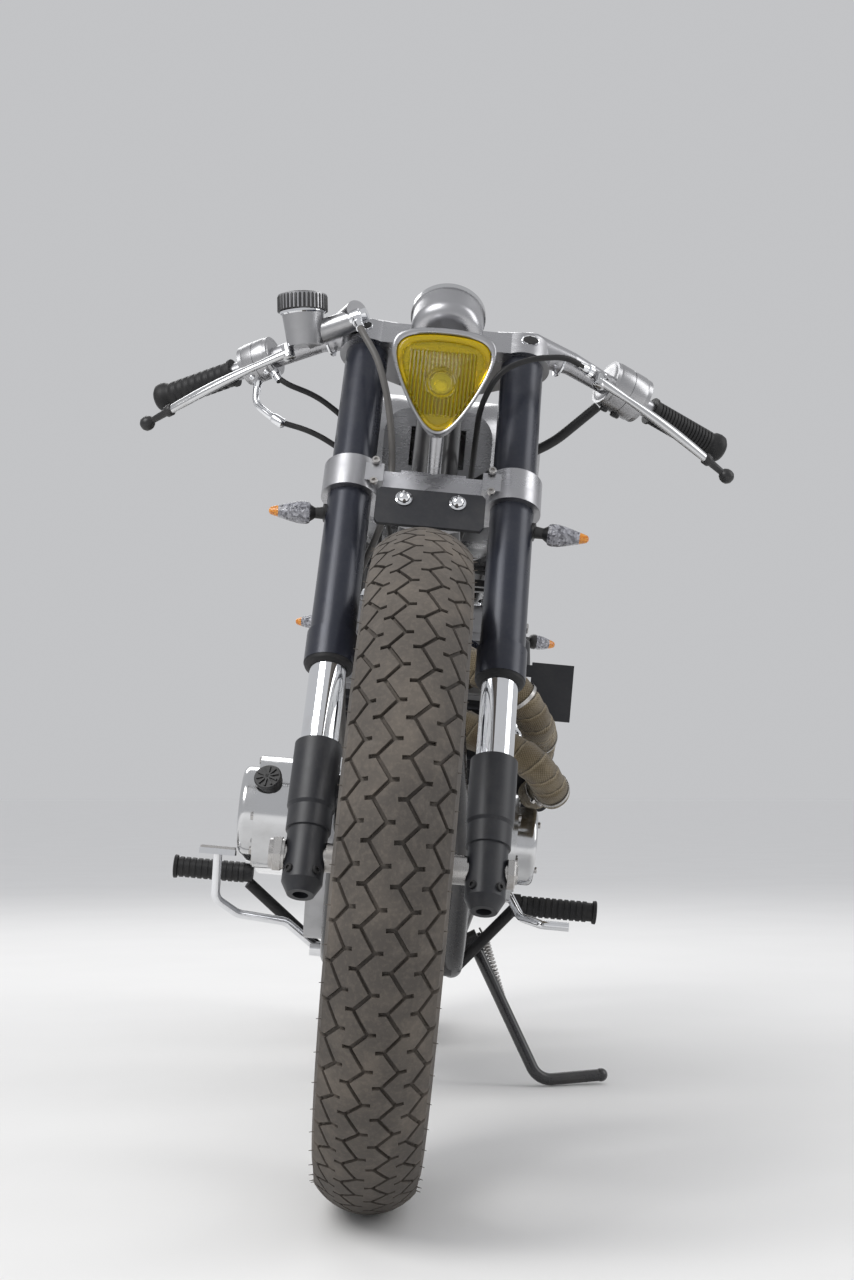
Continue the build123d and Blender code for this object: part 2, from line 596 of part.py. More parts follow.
def rear_brake():
    """The drum's fixed plate on the right, with its lever and torque stay."""
    plate = along_x(-54, -42, 78) + along_x(-76, -54, 48)
    plate -= along_x(-67.5, -41, 35.5)
    plate -= along_x(-77, -60, 15 + SEAT_GAP)
    plate = Pos(*REAR_AXLE) * plate
    lug = (-62, WHEELBASE - 52, REAR_RADIUS - 40)
    arm_lug = (-ARM_X + 20, WHEELBASE - 230, REAR_RADIUS - 8)
    plate += rod((-50, lug[1], lug[2]), (-68, lug[1], lug[2]), 12) + rod(lug, arm_lug, 6)
    plate += rod((-50, WHEELBASE - 20, REAR_RADIUS - 62), (-84, WHEELBASE - 20, REAR_RADIUS - 62), 8)
    plate += rod((-80, WHEELBASE - 20, REAR_RADIUS - 62), (-80, WHEELBASE - 36, REAR_RADIUS - 122), 6)
    return {"rear_brake_plate": plate - swingarm()["swingarm"]}


def shocks():
    (top_y, top_z), (foot_y, foot_z) = SHOCK_TOP, SHOCK_FOOT
    top, foot = Vector(SHOCK_X, top_y, top_z), Vector(SHOCK_X, foot_y, foot_z)
    way = (top - foot).normalized()
    body = rod(foot + way * 22, foot + way * 120, 22) + rod(foot, top, 8)
    body += rod(foot + way * 60, top - way * 40, 29)
    body += rod(top - way * 90, top - way * 20, 22)
    for y, z in (SHOCK_TOP, SHOCK_FOOT):
        body += along_x(SHOCK_X - 14, SHOCK_X + 14, 15, y, z)
    for y, z in (SHOCK_TOP, SHOCK_FOOT):
        body -= along_x(SHOCK_X - 30, SHOCK_X + 30, SHOCK_STUD + RUNNING_FIT, y, z)
    return {"rear_shock_absorbers": pair(body)}


def engine():
    """The cases and covers, measured from the crankshaft."""
    back, deck = CRANK_Y + 145, CRANK_Z + 55
    cases = side_hull([(CRANK_Y, CRANK_Z, 84), (CRANK_Y, 250, 40), (back, 250, 40)], -120, 96)
    cases += side_hull([(CRANK_Y, CRANK_Z, 80), (CRANK_Y + 165, 350, 70), (CRANK_Y + 155, 260, 45)], -120, 58)
    cases += block((-BLOCK_HALF + 8, BLOCK_HALF - 8), (CRANK_Y - 55, CRANK_Y + 108), (deck, BARREL_BOTTOM))
    for number in range(5):
        y = CRANK_Y + 2 + 32 * number
        cases += block((-60, 60), (y, y + 5), (204, 214))
    cases += rod((12, CRANK_Y + 155, 400), (12, CRANK_Y + 155, 436), 9)
    cases += rod((-30, CRANK_Y - 70, 300), (-30, CRANK_Y - 112, 292), 34, 31)
    cases += along_x(58, CHAIN_X + 8, 14, DRIVE_Y, PIVOT_Z)
    cases += along_x(CHAIN_X - 3, CHAIN_X + 3, DRIVE_RADIUS - 0.5, DRIVE_Y, PIVOT_Z)
    right = side_hull([(CRANK_Y + 15, 372, 76), (CRANK_Y + 130, 345, 62)], -198, -120)
    right += side_hull([(CRANK_Y + 19, 372, 60), (CRANK_Y + 119, 348, 50)], -221, -190)
    right = fillet(right.edges().group_by(Axis.X)[0], 9)
    filler = rod((-178, CRANK_Y - 33, 404), (-184, CRANK_Y - 55, 418), 17)
    left = side_hull([(CRANK_Y, 360, 67), (CRANK_Y + 20, 340, 60)], 96, 150)
    left += along_x(140, 178, 52, CRANK_Y, 358)
    left += side_hull([(CRANK_Y, 345, 60), (DRIVE_Y - 12, PIVOT_Z, 52)], 96, 128)
    left = fillet(left.edges().group_by(Axis.X)[-1], 8)
    covers = [right - filler, left]
    return {"engine_cases": cases - left, "engine_side_covers": covers, "oil_filler_cap": filler}


def cylinders():
    front, back = CRANK_Y - 45, CRANK_Y + 98
    barrel = block((-BLOCK_HALF + 10, BLOCK_HALF - 10), (front, back), (BARREL_BOTTOM, BARREL_TOP))
    head = block((-BLOCK_HALF + 10, BLOCK_HALF - 10), (front, back), (BARREL_TOP, HEAD_TOP))
    cover = block((-BLOCK_HALF + 16, BLOCK_HALF - 16), (front - 4, back + 5), (HEAD_TOP, COVER_TOP))
    cover = fillet(cover.edges().group_by(Axis.Z)[-1], 12)
    fin = 3.0
    for number in range(8):
        z = BARREL_BOTTOM + 6 + number * (BARREL_TOP - BARREL_BOTTOM - 12) / 7.5
        barrel += fin_plate(BLOCK_HALF + 6, front - 18, back + 18, z, fin)
    for number in range(6):
        z = BARREL_TOP + 6 + number * (HEAD_TOP - BARREL_TOP) / 6.3
        head += fin_plate(BLOCK_HALF + 8, front - 20, back + 20, z, fin)
    for side in (-1, 1):
        head += rod((side * PORT_X, front, PORT_Z), (side * PORT_X, PORT_Y, PORT_Z), 26)
    return {"cylinder_barrels": barrel, "cylinder_head": head, "rocker_cover": cover}


def fin_plate(half, front, back, z, thickness):
    """One cooling fin, with rounded corners."""
    outline = Pos(0, (front + back) / 2, z) * RectangleRounded(2 * half, back - front, 16)
    return extrude(outline, amount=thickness)


def rectifier():
    """The finned rectifier on a strap at the head's left side."""
    face = CRANK_Y - 25
    plate = block((152, 208), (face, face + 10), (528, 604))
    for number in range(6):
        x = 154 + 9.6 * number
        plate += block((x, x + 3), (face + 10, face + 24), (530, 602))
    strap = block((BLOCK_HALF + 8 + SEAT_GAP, 156), (face, face + 6), (584, 600))
    return {"rectifier": plate + strap}


def carburettors():
    flange = CRANK_Y + 118 + SEAT_GAP
    solids = []
    for side in (-1, 1):
        x = side * PORT_X
        body = rod((x, flange, PORT_Z), (x, flange + 30, PORT_Z), 20)
        body += rod((x, flange + 50, PORT_Z - 46), (x, flange + 50, PORT_Z + 44), 23)
        body += block((x - 22, x + 22), (flange + 24, flange + 74), (PORT_Z - 58, PORT_Z - 26))
        body += rod((x, flange + 60, PORT_Z), (x, flange + 97, PORT_Z), 21, 28)
        solids.append(body)
    return {"carburettors": solids}


def exhaust():
    start, bend = PORT_Y - SEAT_GAP, PORT_Y - 66
    upper = tube([(PORT_X, start, PORT_Z), (PORT_X, bend, PORT_Z), (128, bend - 22, 556), (160, bend + 15, 516),
                  (172, bend + 140, 503), (180, bend + 340, 482), (180, bend + 400, 482)],
                 PIPE_RADIUS, [34, 34, 50, 200, 200])
    lower = tube([(-PORT_X, start, PORT_Z), (-PORT_X, bend, PORT_Z), (40, bend - 8, 515), (160, bend - 22, 466),
                  (188, bend + 20, 432), (188, bend + 180, 444), (184, bend + 340, 430), (184, bend + 400, 430)],
                 PIPE_RADIUS, [34, 60, 40, 40, 300, 200])
    return {"exhaust_pipes": [upper, lower]}


def silencer():
    """Both pipes enter a collector, and a plain can follows it."""
    end = PORT_Y + 334
    collector = block((158, 208), (end + SEAT_GAP, end + 62), (404, 508))
    collector = fillet(collector.edges().filter_by(Axis.Y), 16)
    can = turned((183, end + 50, 456), (194, end + 335, 470),
                 [(0, 24), (14, 24), (60, SILENCER_RADIUS), (270, SILENCER_RADIUS), (286, SILENCER_RADIUS - 10)])
    return {"silencer": collector + can}


def tank_section(along, half, low, high):
    """One section of the tank, given in shares of its length, half width and height."""
    y = TANK_FRONT + along * (PIVOT_Y - 53 - TANK_FRONT)
    height = (high - low) * TANK_HEIGHT
    plane = Plane(origin=(0, y, TANK_BOTTOM + low * TANK_HEIGHT + height / 2), x_dir=(1, 0, 0), z_dir=(0, 1, 0))
    return plane * RectangleRounded(2 * half * TANK_HALF, height, 0.34 * height)


def fuel_tank():
    """A long tank, broad in front and drawn in where the knees go."""
    table = ((0.0, 0.5, 0.25, 0.8), (0.14, 0.86, 0.11, 0.95), (0.36, 1.0, 0.01, 1.0),
             (0.62, 0.86, 0.0, 0.95), (0.84, 0.72, 0.04, 0.77), (1.0, 0.6, 0.18, 0.6))
    tank = loft([tank_section(*row) for row in table])
    start = Vector(*fork_point(0, STEM_OFFSET, BACKBONE_ALONG))
    way = Vector(*BACKBONE_END) - start
    slope = degrees(atan2(-way.Z, way.Y))
    height = 2 * (BACKBONE_RADIUS + SEAT_GAP)
    tunnel = Pos(*(start + way * 0.5)) * Rot(-slope, 0, 0) * Box(2 * BACKBONE_RADIUS + 20, 900, height)
    tunnel += Pos(0, 640, TANK_BOTTOM - 15) * Box(2 * BACKBONE_RADIUS + 20, 700, 130)
    cap_y = TANK_FRONT + 0.36 * (PIVOT_Y - 53 - TANK_FRONT)
    cap = Pos(0, cap_y, TANK_BOTTOM + TANK_HEIGHT + 6) * Cylinder(30, 12)
    return {"fuel_tank": tank - tunnel, "fuel_cap": cap - tank}


def seat():
    """The pad and its hump, from its rails upward."""
    base = SEAT_RAIL_Z + FRAME_TUBE + SEAT_GAP
    front = PIVOT_Y - 49
    table = ((front, 0.84, 54), (front + 60, 0.96, 65), (TAIL_Y - 230, 1.0, 62), (TAIL_Y - 180, 0.99, 74),
             (TAIL_Y - 110, 0.95, 116), (TAIL_Y - 30, 0.86, 118), (TAIL_Y + 40, 0.62, 74))
    sections = []
    for y, share, height in table:
        plane = Plane(origin=(0, y, base + height / 2), x_dir=(1, 0, 0), z_dir=(0, 1, 0))
        sections.append(plane * RectangleRounded(2 * share * SEAT_HALF, height, 0.3 * height))
    return {"seat": loft(sections, ruled=True)}


def battery_box():
    """The box of battery and electrics that hangs between the seat rails."""
    ceiling = SEAT_RAIL_Z - FRAME_TUBE - SEAT_GAP
    box = block((-62, 62), (PIVOT_Y + 12, PIVOT_Y + 128), (ceiling - 150, ceiling - 8))
    box = fillet(box.edges().filter_by(Axis.Z), 10)
    for y in (PIVOT_Y + 30, PIVOT_Y + 100):
        box += block((-SEAT_RAIL_X, SEAT_RAIL_X), (y, y + 22), (ceiling - 10, ceiling))
    return {"battery_box": box}


def mudguard():
    """A short guard over the rear tyre on two stays, with the lamps' crossbar."""
    strip = make_face(Polyline((-60, GUARD_RADIUS), (60, GUARD_RADIUS), (60, GUARD_RADIUS + 3),
                               (-60, GUARD_RADIUS + 3), close=True))
    guard = Pos(*REAR_AXLE) * Rot(38, 0, 0) * revolve(strip, axis=Axis.X, revolution_arc=84)
    rail_low = SEAT_RAIL_Z - FRAME_TUBE
    for x in (-40, 40):
        guard += rod((x, TAIL_Y - 2, REAR_RADIUS + GUARD_RADIUS - 4), (x, TAIL_Y - 2, rail_low), 6)
    guard += along_x(-LIGHTS_X, LIGHTS_X, 6, TAIL_Y + 2, LIGHTS_Z)
    return {"rear_mudguard": guard - frame()["frame_seat_rails"]}


def rear_lights():
    lamp = Pos(0, TAIL_Y + 44, SEAT_RAIL_Z + 58) * Box(90, 22, 36) - seat()["seat"]
    solids = []
    for side in (-1, 1):
        elbow = (side * 190, TAIL_Y + 40, LIGHTS_Z - 10)
        stalk = rod((side * (LIGHTS_X + 3), TAIL_Y + 3, LIGHTS_Z), elbow, 6)
        stalk += rod(elbow, (side * 232, TAIL_Y + 50, LIGHTS_Z - 12), 13, 9)
        solids.append(stalk)
    return {"tail_lamp": lamp, "rear_indicators": solids}


def front_indicators():
    """A short stalk and a leaf-shaped lens on each fork tube."""
    base = Vector(*fork_point(LEG_X + TUBE_RADIUS - 3, 0, 424))
    body = rod(base, base + Vector(21, -4, -2), 6)
    body += turned(base + Vector(20, -4, -2), base + Vector(66, -8, -4),
                   [(0, 6), (3, 11), (13, 13.5), (26, 12), (38, 8.5), (45, 4.5), (46.5, 2)])
    body -= on_fork(Pos(LEG_X, 0, 424) * Cylinder(TUBE_RADIUS + RUNNING_FIT, 60))
    return {"front_indicators": pair(body)}


def controls():
    master = rod((-128, 300, 962), (-108, 262, 972), 13) + rod((-165, 276, 928), (-172, 272, 968), 21, 25)
    master += rod((-172, 272, 968), (-174, 271, 986), 29)
    master += rod((-165, 282, 940), (-110, 268, 962), 15, 13)
    throttle = rod((-206, 338, 926), (-240, 353, 913), 24)
    switches = rod((196, 334, 930), (240, 353, 914), 28)
    switches += rod((200, 320, 925), LEVER_PIVOT, 10) + rod((190, 292, 921), CLUTCH_START, 6)
    bars = handlebars()["handlebars"]
    lever = levers()["brake_and_clutch_levers"]
    master = master - bars - lever[1]
    switches = switches - bars - lever[0]
    return {"brake_master_cylinder": master, "handlebar_housings": [throttle - bars - master, switches]}


def control_cables():
    """Clutch cable, two throttle cables and the switch harness, held at both of their ends."""
    top = COVER_TOP + 36
    behind = CRANK_Y + 168 + SEAT_GAP
    clutch = cord([(169, 265.3, 927.3), (142, 246, 936), (100, 226, 926), (64, 212, 905), (46, 232, 866), (44, 300, 812),
                   (44, 372, 756), (34, 450, 722), (20, CRANK_Y - 60, top), (12, CRANK_Y + 60, top),
                   (12, CRANK_Y + 152, top - 24), (12, CRANK_Y + 155, 560), (12, CRANK_Y + 155, 436.3)], 3.5)
    pull = cord([(-224, 346, 889), (-224, 342, 866), (-196, 334, 846), (-150, 328, 836), (-104, 328, 812),
                 (-62, 350, 778), (-48, 420, 728), (-46, CRANK_Y - 60, top), (-46, CRANK_Y + 70, top),
                 (-46, behind, top - 26), (-46, behind, PORT_Z + 44.3)], 3.5)
    push = cord([(-202.8, 330.2, 900.5), (-186, 326, 890), (-150, 330, 880), (-112, 334, 856), (-72, 344, 806),
                 (-62, 400, 746), (-66, CRANK_Y - 60, top), (-66, CRANK_Y + 70, top), (-66, behind, top - 26),
                 (-66, behind, PORT_Z + 44.3)], 3.5)
    harness = cord([(188.4, 341.9, 900.4), (168, 340, 880), (140, 338, 852), (96, 336, 826), (62, 342, 802),
                    (36, 358, 786), (8, 370, 784), (8, 370, 819.4)], 6)
    return {"control_cables": [clutch, pull, push, harness]}


def foot_controls():
    peg_y, left_y = PIVOT_Y - 155, PIVOT_Y - 155
    right_peg = along_x(-313, -215, 13, peg_y, 283)
    right_bracket = along_x(-215, -205, 13, peg_y, 283)
    right_bracket += rod((-210, peg_y + 4, 269), (-CRADLE_X - 12, peg_y + 40, 175), 8)
    left_peg = along_x(171, 275, 13, left_y, 272)
    left_bracket = along_x(160, 171, 16, left_y, 272)
    left_bracket += rod((164, left_y + 2, 268), (CRADLE_X + 12, left_y + 20, 180), 8)
    rails = frame()["frame_cradle"]
    pedal = tube([(-108, peg_y - 38, 194), (-150, peg_y - 48, 224), (-215, peg_y - 70, 230),
                  (-245, peg_y - 96, 250), (-245, peg_y - 120, 312)], 6, [26, 30, 22])
    pedal += block((-269, -221), (peg_y - 132, peg_y - 108), (310, 318))
    pedal += along_x(-114, -CRADLE_X, 10, peg_y - 38, CRADLE_Z)
    gear = tube([(128.5, peg_y - 15, 290), (152, peg_y - 16, 289), (168, peg_y - 100, 262),
                 (196, peg_y - 119, 256), (232, peg_y - 120, 256)], 6, [20, 20, 12])
    return {"rider_footrests": [right_peg + right_bracket - rails, left_peg + left_bracket - rails],
            "rear_brake_pedal": pedal - rails, "gear_lever": gear}


def chain():
    def loop(extra):
        circles = [(DRIVE_Y, PIVOT_Z, DRIVE_RADIUS + extra),
                   (WHEELBASE, REAR_RADIUS, DRIVEN_RADIUS + CHAIN_GAP + extra)]
        return side_hull(circles, CHAIN_X - CHAIN_WIDTH / 2, CHAIN_X + CHAIN_WIDTH / 2)
    return {"drive_chain": loop(CHAIN_THICKNESS) - loop(0)}


def side_stand():
    pivot = Vector(*STAND_PIVOT)
    knee = Vector(*upright(*STAND_KNEE_FLOOR, STAND_RADIUS))
    ball = Vector(*upright(*STAND_BALL_FLOOR, STAND_BALL_RADIUS + STAND_BALL_LIFT))
    bolt = Vector(cos(radians(STAND_TILT)), 0, sin(radians(STAND_TILT)))
    leg = tube([pivot, knee, ball], STAND_RADIUS, [28])
    leg += Pos(*ball) * Sphere(STAND_BALL_RADIUS)
    half = STAND_RADIUS + 0.5
    leg += rod(pivot - bolt * half, pivot + bolt * half, 17)
    leg -= rod(pivot - bolt * 20, pivot + bolt * 20, STAND_BOLT + RUNNING_FIT)
    return {"side_stand": leg}


def stand_bracket():
    """The side stand's lug on the cradle, with its bolt."""
    pivot = Vector(*STAND_PIVOT)
    bolt = Vector(cos(radians(STAND_TILT)), 0, sin(radians(STAND_TILT)))
    half = STAND_RADIUS + 0.5 + SEAT_GAP
    lug = rod(pivot - bolt * (half + 8), pivot - bolt * half, 17)
    lug += rod(pivot - bolt * (half + 8), pivot + bolt * (half + 5), STAND_BOLT)
    lug += rod(pivot + bolt * half, pivot + bolt * (half + 5), 10)
    root = (CRADLE_X + 6, STAND_PIVOT[1], CRADLE_Z)
    return lug + rod(pivot - bolt * (half + 4), root, 12)


def build():
    nodes = {}
    for maker in (front_wheel, rear_wheel, fork_legs, front_axle, lower_yoke, handlebars, grips, levers, headlamp,
                  instrument, frame, swingarm, rear_brake, shocks, engine, cylinders, rectifier, carburettors,
                  exhaust, silencer, fuel_tank, seat, battery_box, mudguard, rear_lights, caliper, brake_hose,
                  yoke_shield, front_indicators, controls, control_cables, foot_controls, chain, side_stand):
        nodes.update(maker())
    return nodes


def flat_list(shape):
    """Every solid of a node."""
    shapes = shape if isinstance(shape, list) else [shape]
    return [solid for item in shapes for solid in item.solids()]


def main():
    os.makedirs("parts", exist_ok=True)
    lean = Rot(0, LEAN, 0)
    nodes = {name: [lean * solid for solid in flat_list(shape)] for name, shape in build().items()}
    box = Compound(children=[s for solids in nodes.values() for s in solids]).bounding_box()
    home = Pos(-(box.min.X + box.max.X) / 2, -(box.min.Y + box.max.Y) / 2, -box.min.Z)
    print("shift", home.position)
    for old in os.listdir("parts"):
        os.remove(os.path.join("parts", old))
    for name, solids in nodes.items():
        export_step(Compound(label=name, children=[home * solid for solid in solids]), f"parts/{name}.step")


if __name__ == "__main__":
    main()
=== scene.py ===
"""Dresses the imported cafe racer: treads, lamp glass, heat wrap, seat, chain and fittings, and every finish.

Pieces are drawn in millimetres on the upright machine, with the ground under the front axle at the origin,
forward along -Y and the rider's left along +X. HOME then leans them over and puts them in the frame.
"""
import json
from math import asin, atan2, cos, pi, radians, sin, sqrt, tan

import bmesh
import bpy
from mathutils import Matrix, Vector, noise
from mathutils.geometry import delaunay_2d_cdt


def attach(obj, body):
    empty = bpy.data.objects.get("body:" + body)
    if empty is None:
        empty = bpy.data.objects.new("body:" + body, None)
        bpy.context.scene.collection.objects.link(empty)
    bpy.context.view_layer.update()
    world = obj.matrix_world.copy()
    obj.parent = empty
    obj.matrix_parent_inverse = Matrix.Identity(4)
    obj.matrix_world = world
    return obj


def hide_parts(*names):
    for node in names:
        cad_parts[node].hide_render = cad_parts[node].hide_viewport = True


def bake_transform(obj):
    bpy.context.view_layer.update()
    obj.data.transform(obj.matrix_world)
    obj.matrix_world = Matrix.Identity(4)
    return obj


bl_info = {
    "name": "Cafe Racer Dressing",
    "version": (1, 0, 0),
    "blender": (4, 5, 0),
    "location": "View3D > Sidebar > Cafe Racer",
    "description": "Treads, lamp glass, heat wrap, seat, chain and finishes of a parked cafe racer",
    "category": "Object",
}

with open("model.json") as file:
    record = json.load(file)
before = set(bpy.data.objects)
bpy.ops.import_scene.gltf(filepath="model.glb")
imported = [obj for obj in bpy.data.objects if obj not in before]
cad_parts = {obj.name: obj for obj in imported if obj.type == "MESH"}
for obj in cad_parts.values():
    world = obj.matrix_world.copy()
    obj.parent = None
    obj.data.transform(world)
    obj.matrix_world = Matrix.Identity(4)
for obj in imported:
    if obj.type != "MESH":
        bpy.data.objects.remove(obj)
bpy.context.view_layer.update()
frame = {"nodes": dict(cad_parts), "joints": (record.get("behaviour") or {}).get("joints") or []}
JOINTS = {joint["name"]: joint for joint in frame["joints"]}
LEAN, RAKE = radians(5.25), radians(27)
FRONT_RADIUS, FRONT_BEAD = 343.0, 243.0
REAR_RADIUS, REAR_BEAD = 330.0, 230.0
WHEELBASE = 1400.0
LEG_X, CROWN_TOP = 92.5, 686.0
HOME = (Matrix.Translation(JOINTS["front_wheel_spin"]["pos_m"]) @ Matrix.Rotation(LEAN, 4, "Y")
        @ Matrix.Scale(0.001, 4) @ Matrix.Translation((0, 0, -FRONT_RADIUS)))
FORK = Matrix.Translation((0, 0, FRONT_RADIUS)) @ Matrix.Rotation(-RAKE, 4, "X")
FORK_UP, FORK_FORWARD = (FORK.to_3x3() @ Vector(way) for way in ((0, 0, 1), (0, -1, 0)))
FRONT_AXLE = Matrix.Translation((0, 0, FRONT_RADIUS))
REAR_AXLE = Matrix.Translation((0, WHEELBASE, REAR_RADIUS))
LEFT, RIGHT, FORWARD, BACK = (1, 0, 0), (-1, 0, 0), (0, -1, 0), (0, 1, 0)
UP, DOWN = (0, 0, 1), (0, 0, -1)


# Shader maths

class Field:
    """A value over the surface. Arithmetic on it adds Math nodes to its finish."""

    def __init__(self, finish, socket):
        self.finish, self.socket = finish, socket

    def maths(self, operation, *others):
        return self.finish.node("ShaderNodeMath", {"operation": operation}, [self, *others])

    def __add__(self, other):
        return self.maths("ADD", other)

    def __mul__(self, other):
        return self.maths("MULTIPLY", other)

    def __rsub__(self, other):
        return self.finish.node("ShaderNodeMath", {"operation": "SUBTRACT"}, [other, self])

    __radd__ = __add__
    __rmul__ = __mul__

    def ramp(self, low, high, start=0.0, end=1.0):
        """start below low, end above high, and smooth between."""
        return self.finish.node("ShaderNodeMapRange", {"interpolation_type": "SMOOTHSTEP"},
                                [self, low, high, start, end])

    def wave(self, length):
        """A sine of this length."""
        return (self * (2 * pi / length)).maths("SINE")

    def part(self, axis):
        return self.finish.node("ShaderNodeSeparateXYZ", {}, [self], axis)

    def length(self):
        return self.finish.node("ShaderNodeVectorMath", {"operation": "LENGTH"}, [self], "Value")


class Finish:
    """A material, and what varies over it."""

    def __init__(self, name, colour, roughness, metallic=0.0, **constants):
        self.material = bpy.data.materials.new(name)
        self.material.use_nodes = True
        self.tree = self.material.node_tree
        self.shader = self.tree.nodes["Principled BSDF"]
        constants = {"Base_Color": colour, "Roughness": roughness, "Metallic": metallic, **constants}
        for socket, value in constants.items():
            self.set(socket.replace("_", " "), value)
        self.material.diffuse_color = (*colour, 1.0)

    def node(self, kind, settings, values, output=0):
        made = self.tree.nodes.new(kind)
        for name, setting in settings.items():
            setattr(made, name, setting)
        for key, value in values.items() if isinstance(values, dict) else enumerate(values):
            self.feed(made.inputs[key], value)
        return Field(self, made.outputs[output])

    def feed(self, socket, value):
        if isinstance(value, Field):
            self.tree.links.new(value.socket, socket)
        elif isinstance(value, tuple) and socket.type == "RGBA":
            socket.default_value = (*value, 1.0)
        else:
            socket.default_value = value

    def set(self, socket, value):
        self.feed(self.shader.inputs[socket], value)

    def place(self, scale=(1, 1, 1), turn=(0, 0, 0), centre=(0, 0, 0), source="Object"):
        """Coordinates on the piece, moved so that centre is their origin."""
        coordinate = self.node("ShaderNodeTexCoord", {}, {}, source)
        return self.node("ShaderNodeMapping", {"vector_type": "TEXTURE"},
                         {"Vector": coordinate, "Location": tuple(centre), "Rotation": turn,
                          "Scale": tuple(1 / part for part in scale)})

    def noise(self, scale, detail=3.0, roughness=0.5, where=None):
        return self.node("ShaderNodeTexNoise", {}, {"Vector": where or self.place(), "Scale": scale,
                                                    "Detail": detail, "Roughness": roughness})

    def cells(self, scale, feature="F1", output="Distance"):
        return self.node("ShaderNodeTexVoronoi", {"feature": feature},
                         {"Vector": self.place(), "Scale": scale}, output)

    def mix(self, factor, first, second):
        return self.node("ShaderNodeMix", {"data_type": "RGBA"}, {0: factor, 6: first, 7: second}, 2)

    def bump(self, height, strength, distance, **under):
        return self.node("ShaderNodeBump", {},
                         {"Strength": strength, "Distance": distance, "Height": height, **under})


def dusty(look, colour, dust, amount, scale):
    """The colour under thin dust, thicker where the surface looks up, and how much of it there is."""
    patches, fine = look.noise(scale, 6.0, 0.65), look.noise(260.0, 2.0, 0.6)
    upward = look.node("ShaderNodeNewGeometry", {}, {}, "Normal").part(2)
    cover = (patches.ramp(0.42, 0.72) * 0.7 + fine.ramp(0.45, 0.7) * 0.3) * amount
    cover = cover + upward.ramp(0.1, 0.9, 0.0, 0.35 * amount)
    return look.mix(cover, colour, dust), cover


def painted(name, colour, dust, amount, scale, clean, dulled, grain, scratches=0.0, **sockets):
    """Paint, rubber or plastic, dull where dust covers it.

    grain lists its noise's scale and detail, and the bump's strength and depth.
    """
    look = Finish(name, colour, clean, **sockets)
    shade, cover = dusty(look, colour, dust, amount, scale)
    rough = cover * dulled + clean
    if scratches:
        rough += look.noise(40.0, 4.0, 0.8, look.place((1, 1, 9), (0, LEAN, 0))).ramp(0.5, 0.8) * scratches
    look.set("Base Color", shade)
    look.set("Roughness", rough)
    look.set("Normal", look.bump(look.noise(*grain[:2]), *grain[2:]))
    return look


def bare_metal(name, colour, stain, share, spots, clean, dulled, grain=None):
    """Metal, stained and duller in soft patches.

    spots lists their noise's scale, detail, roughness and range. grain lists the bump's scale, strength
    and depth.
    """
    look = Finish(name, colour, clean, 1.0)
    patches = look.noise(*spots[:3]).ramp(*spots[3:])
    look.set("Base Color", look.mix(patches * share, colour, stain))
    look.set("Roughness", patches * dulled + clean)
    if grain:
        look.set("Normal", look.bump(look.noise(grain[0]), *grain[1:]))
    return look


def cast_aluminium(name, colour, rough, grain, stain):
    look = Finish(name, colour, rough, 1.0)
    patches = look.noise(16.0, 6.0, 0.6).ramp(0.4, 0.75)
    streaks = look.noise(60.0, 5.0, 0.7, look.place((1, 1, 5))).ramp(0.45, 0.75)
    look.set("Base Color", look.mix(patches * stain, colour, tuple(0.6 * part for part in colour)))
    look.set("Roughness", patches * 0.16 + streaks * 0.1 + (rough - 0.06))
    look.set("Normal", look.bump(look.noise(grain, 4.0, 0.6), 0.1, 0.0002))
    return look


def even_coat(name, colour, metallic, spots, *roughness):
    """One colour whose gloss varies a little."""
    look = Finish(name, colour, roughness[-1], metallic)
    look.set("Roughness", look.noise(*spots).ramp(*roughness))
    return look


def coloured_lens(name, bright, dark, scale, strength, rough, **sockets):
    look = Finish(name, bright, rough, **sockets)
    cells = look.cells(scale)
    look.set("Base Color", look.mix(cells, bright, dark))
    look.set("Normal", look.bump(cells, strength, 0.001))
    return look


def clear_lens():
    look = Finish("faceted_clear_lens", (0.3, 0.3, 0.33), 0.1, IOR=1.49, Transmission_Weight=0.25,
                  Coat_Weight=0.6)
    glint = look.cells(330.0, output="Color").part(0)
    look.set("Base Color", look.mix(glint, (0.07, 0.07, 0.085), (0.5, 0.5, 0.54)))
    look.set("Normal", look.bump(look.cells(330.0), 0.9, 0.0012))
    return look


def tyre_rubber():
    look = Finish("dusty_tyre_rubber", (0.07, 0.06, 0.052), 0.85, Specular_IOR_Level=0.3)
    colour, cover = dusty(look, (0.075, 0.066, 0.058), (0.17, 0.145, 0.12), 0.8, 14.0)
    scuffs = look.noise(38.0, 8.0, 0.7).ramp(0.5, 0.75)
    look.set("Base Color", look.mix(scuffs * 0.35, colour, (0.2, 0.175, 0.15)))
    look.set("Roughness", cover * 0.2 + 0.72)
    look.set("Normal", look.bump(look.noise(900.0, 3.0, 0.6), 0.35, 0.0004))
    return look


def disc_steel():
    """Steel ground in rings about the front axle."""
    look = Finish("ring_ground_disc", (0.52, 0.51, 0.5), 0.3, 1.0)
    reach = look.place(centre=HOME @ Vector((0, 0, FRONT_RADIUS))).length()
    rings = look.node("ShaderNodeTexNoise", {"noise_dimensions": "1D"},
                      {"W": reach, "Scale": 900.0, "Detail": 4.0})
    look.set("Base Color", look.mix(rings.ramp(0.35, 0.7) * 0.4, (0.56, 0.55, 0.54), (0.3, 0.29, 0.28)))
    look.set("Roughness", rings * 0.25 + 0.2)
    look.set("Normal", look.bump(rings, 0.15, 0.0003))
    return look


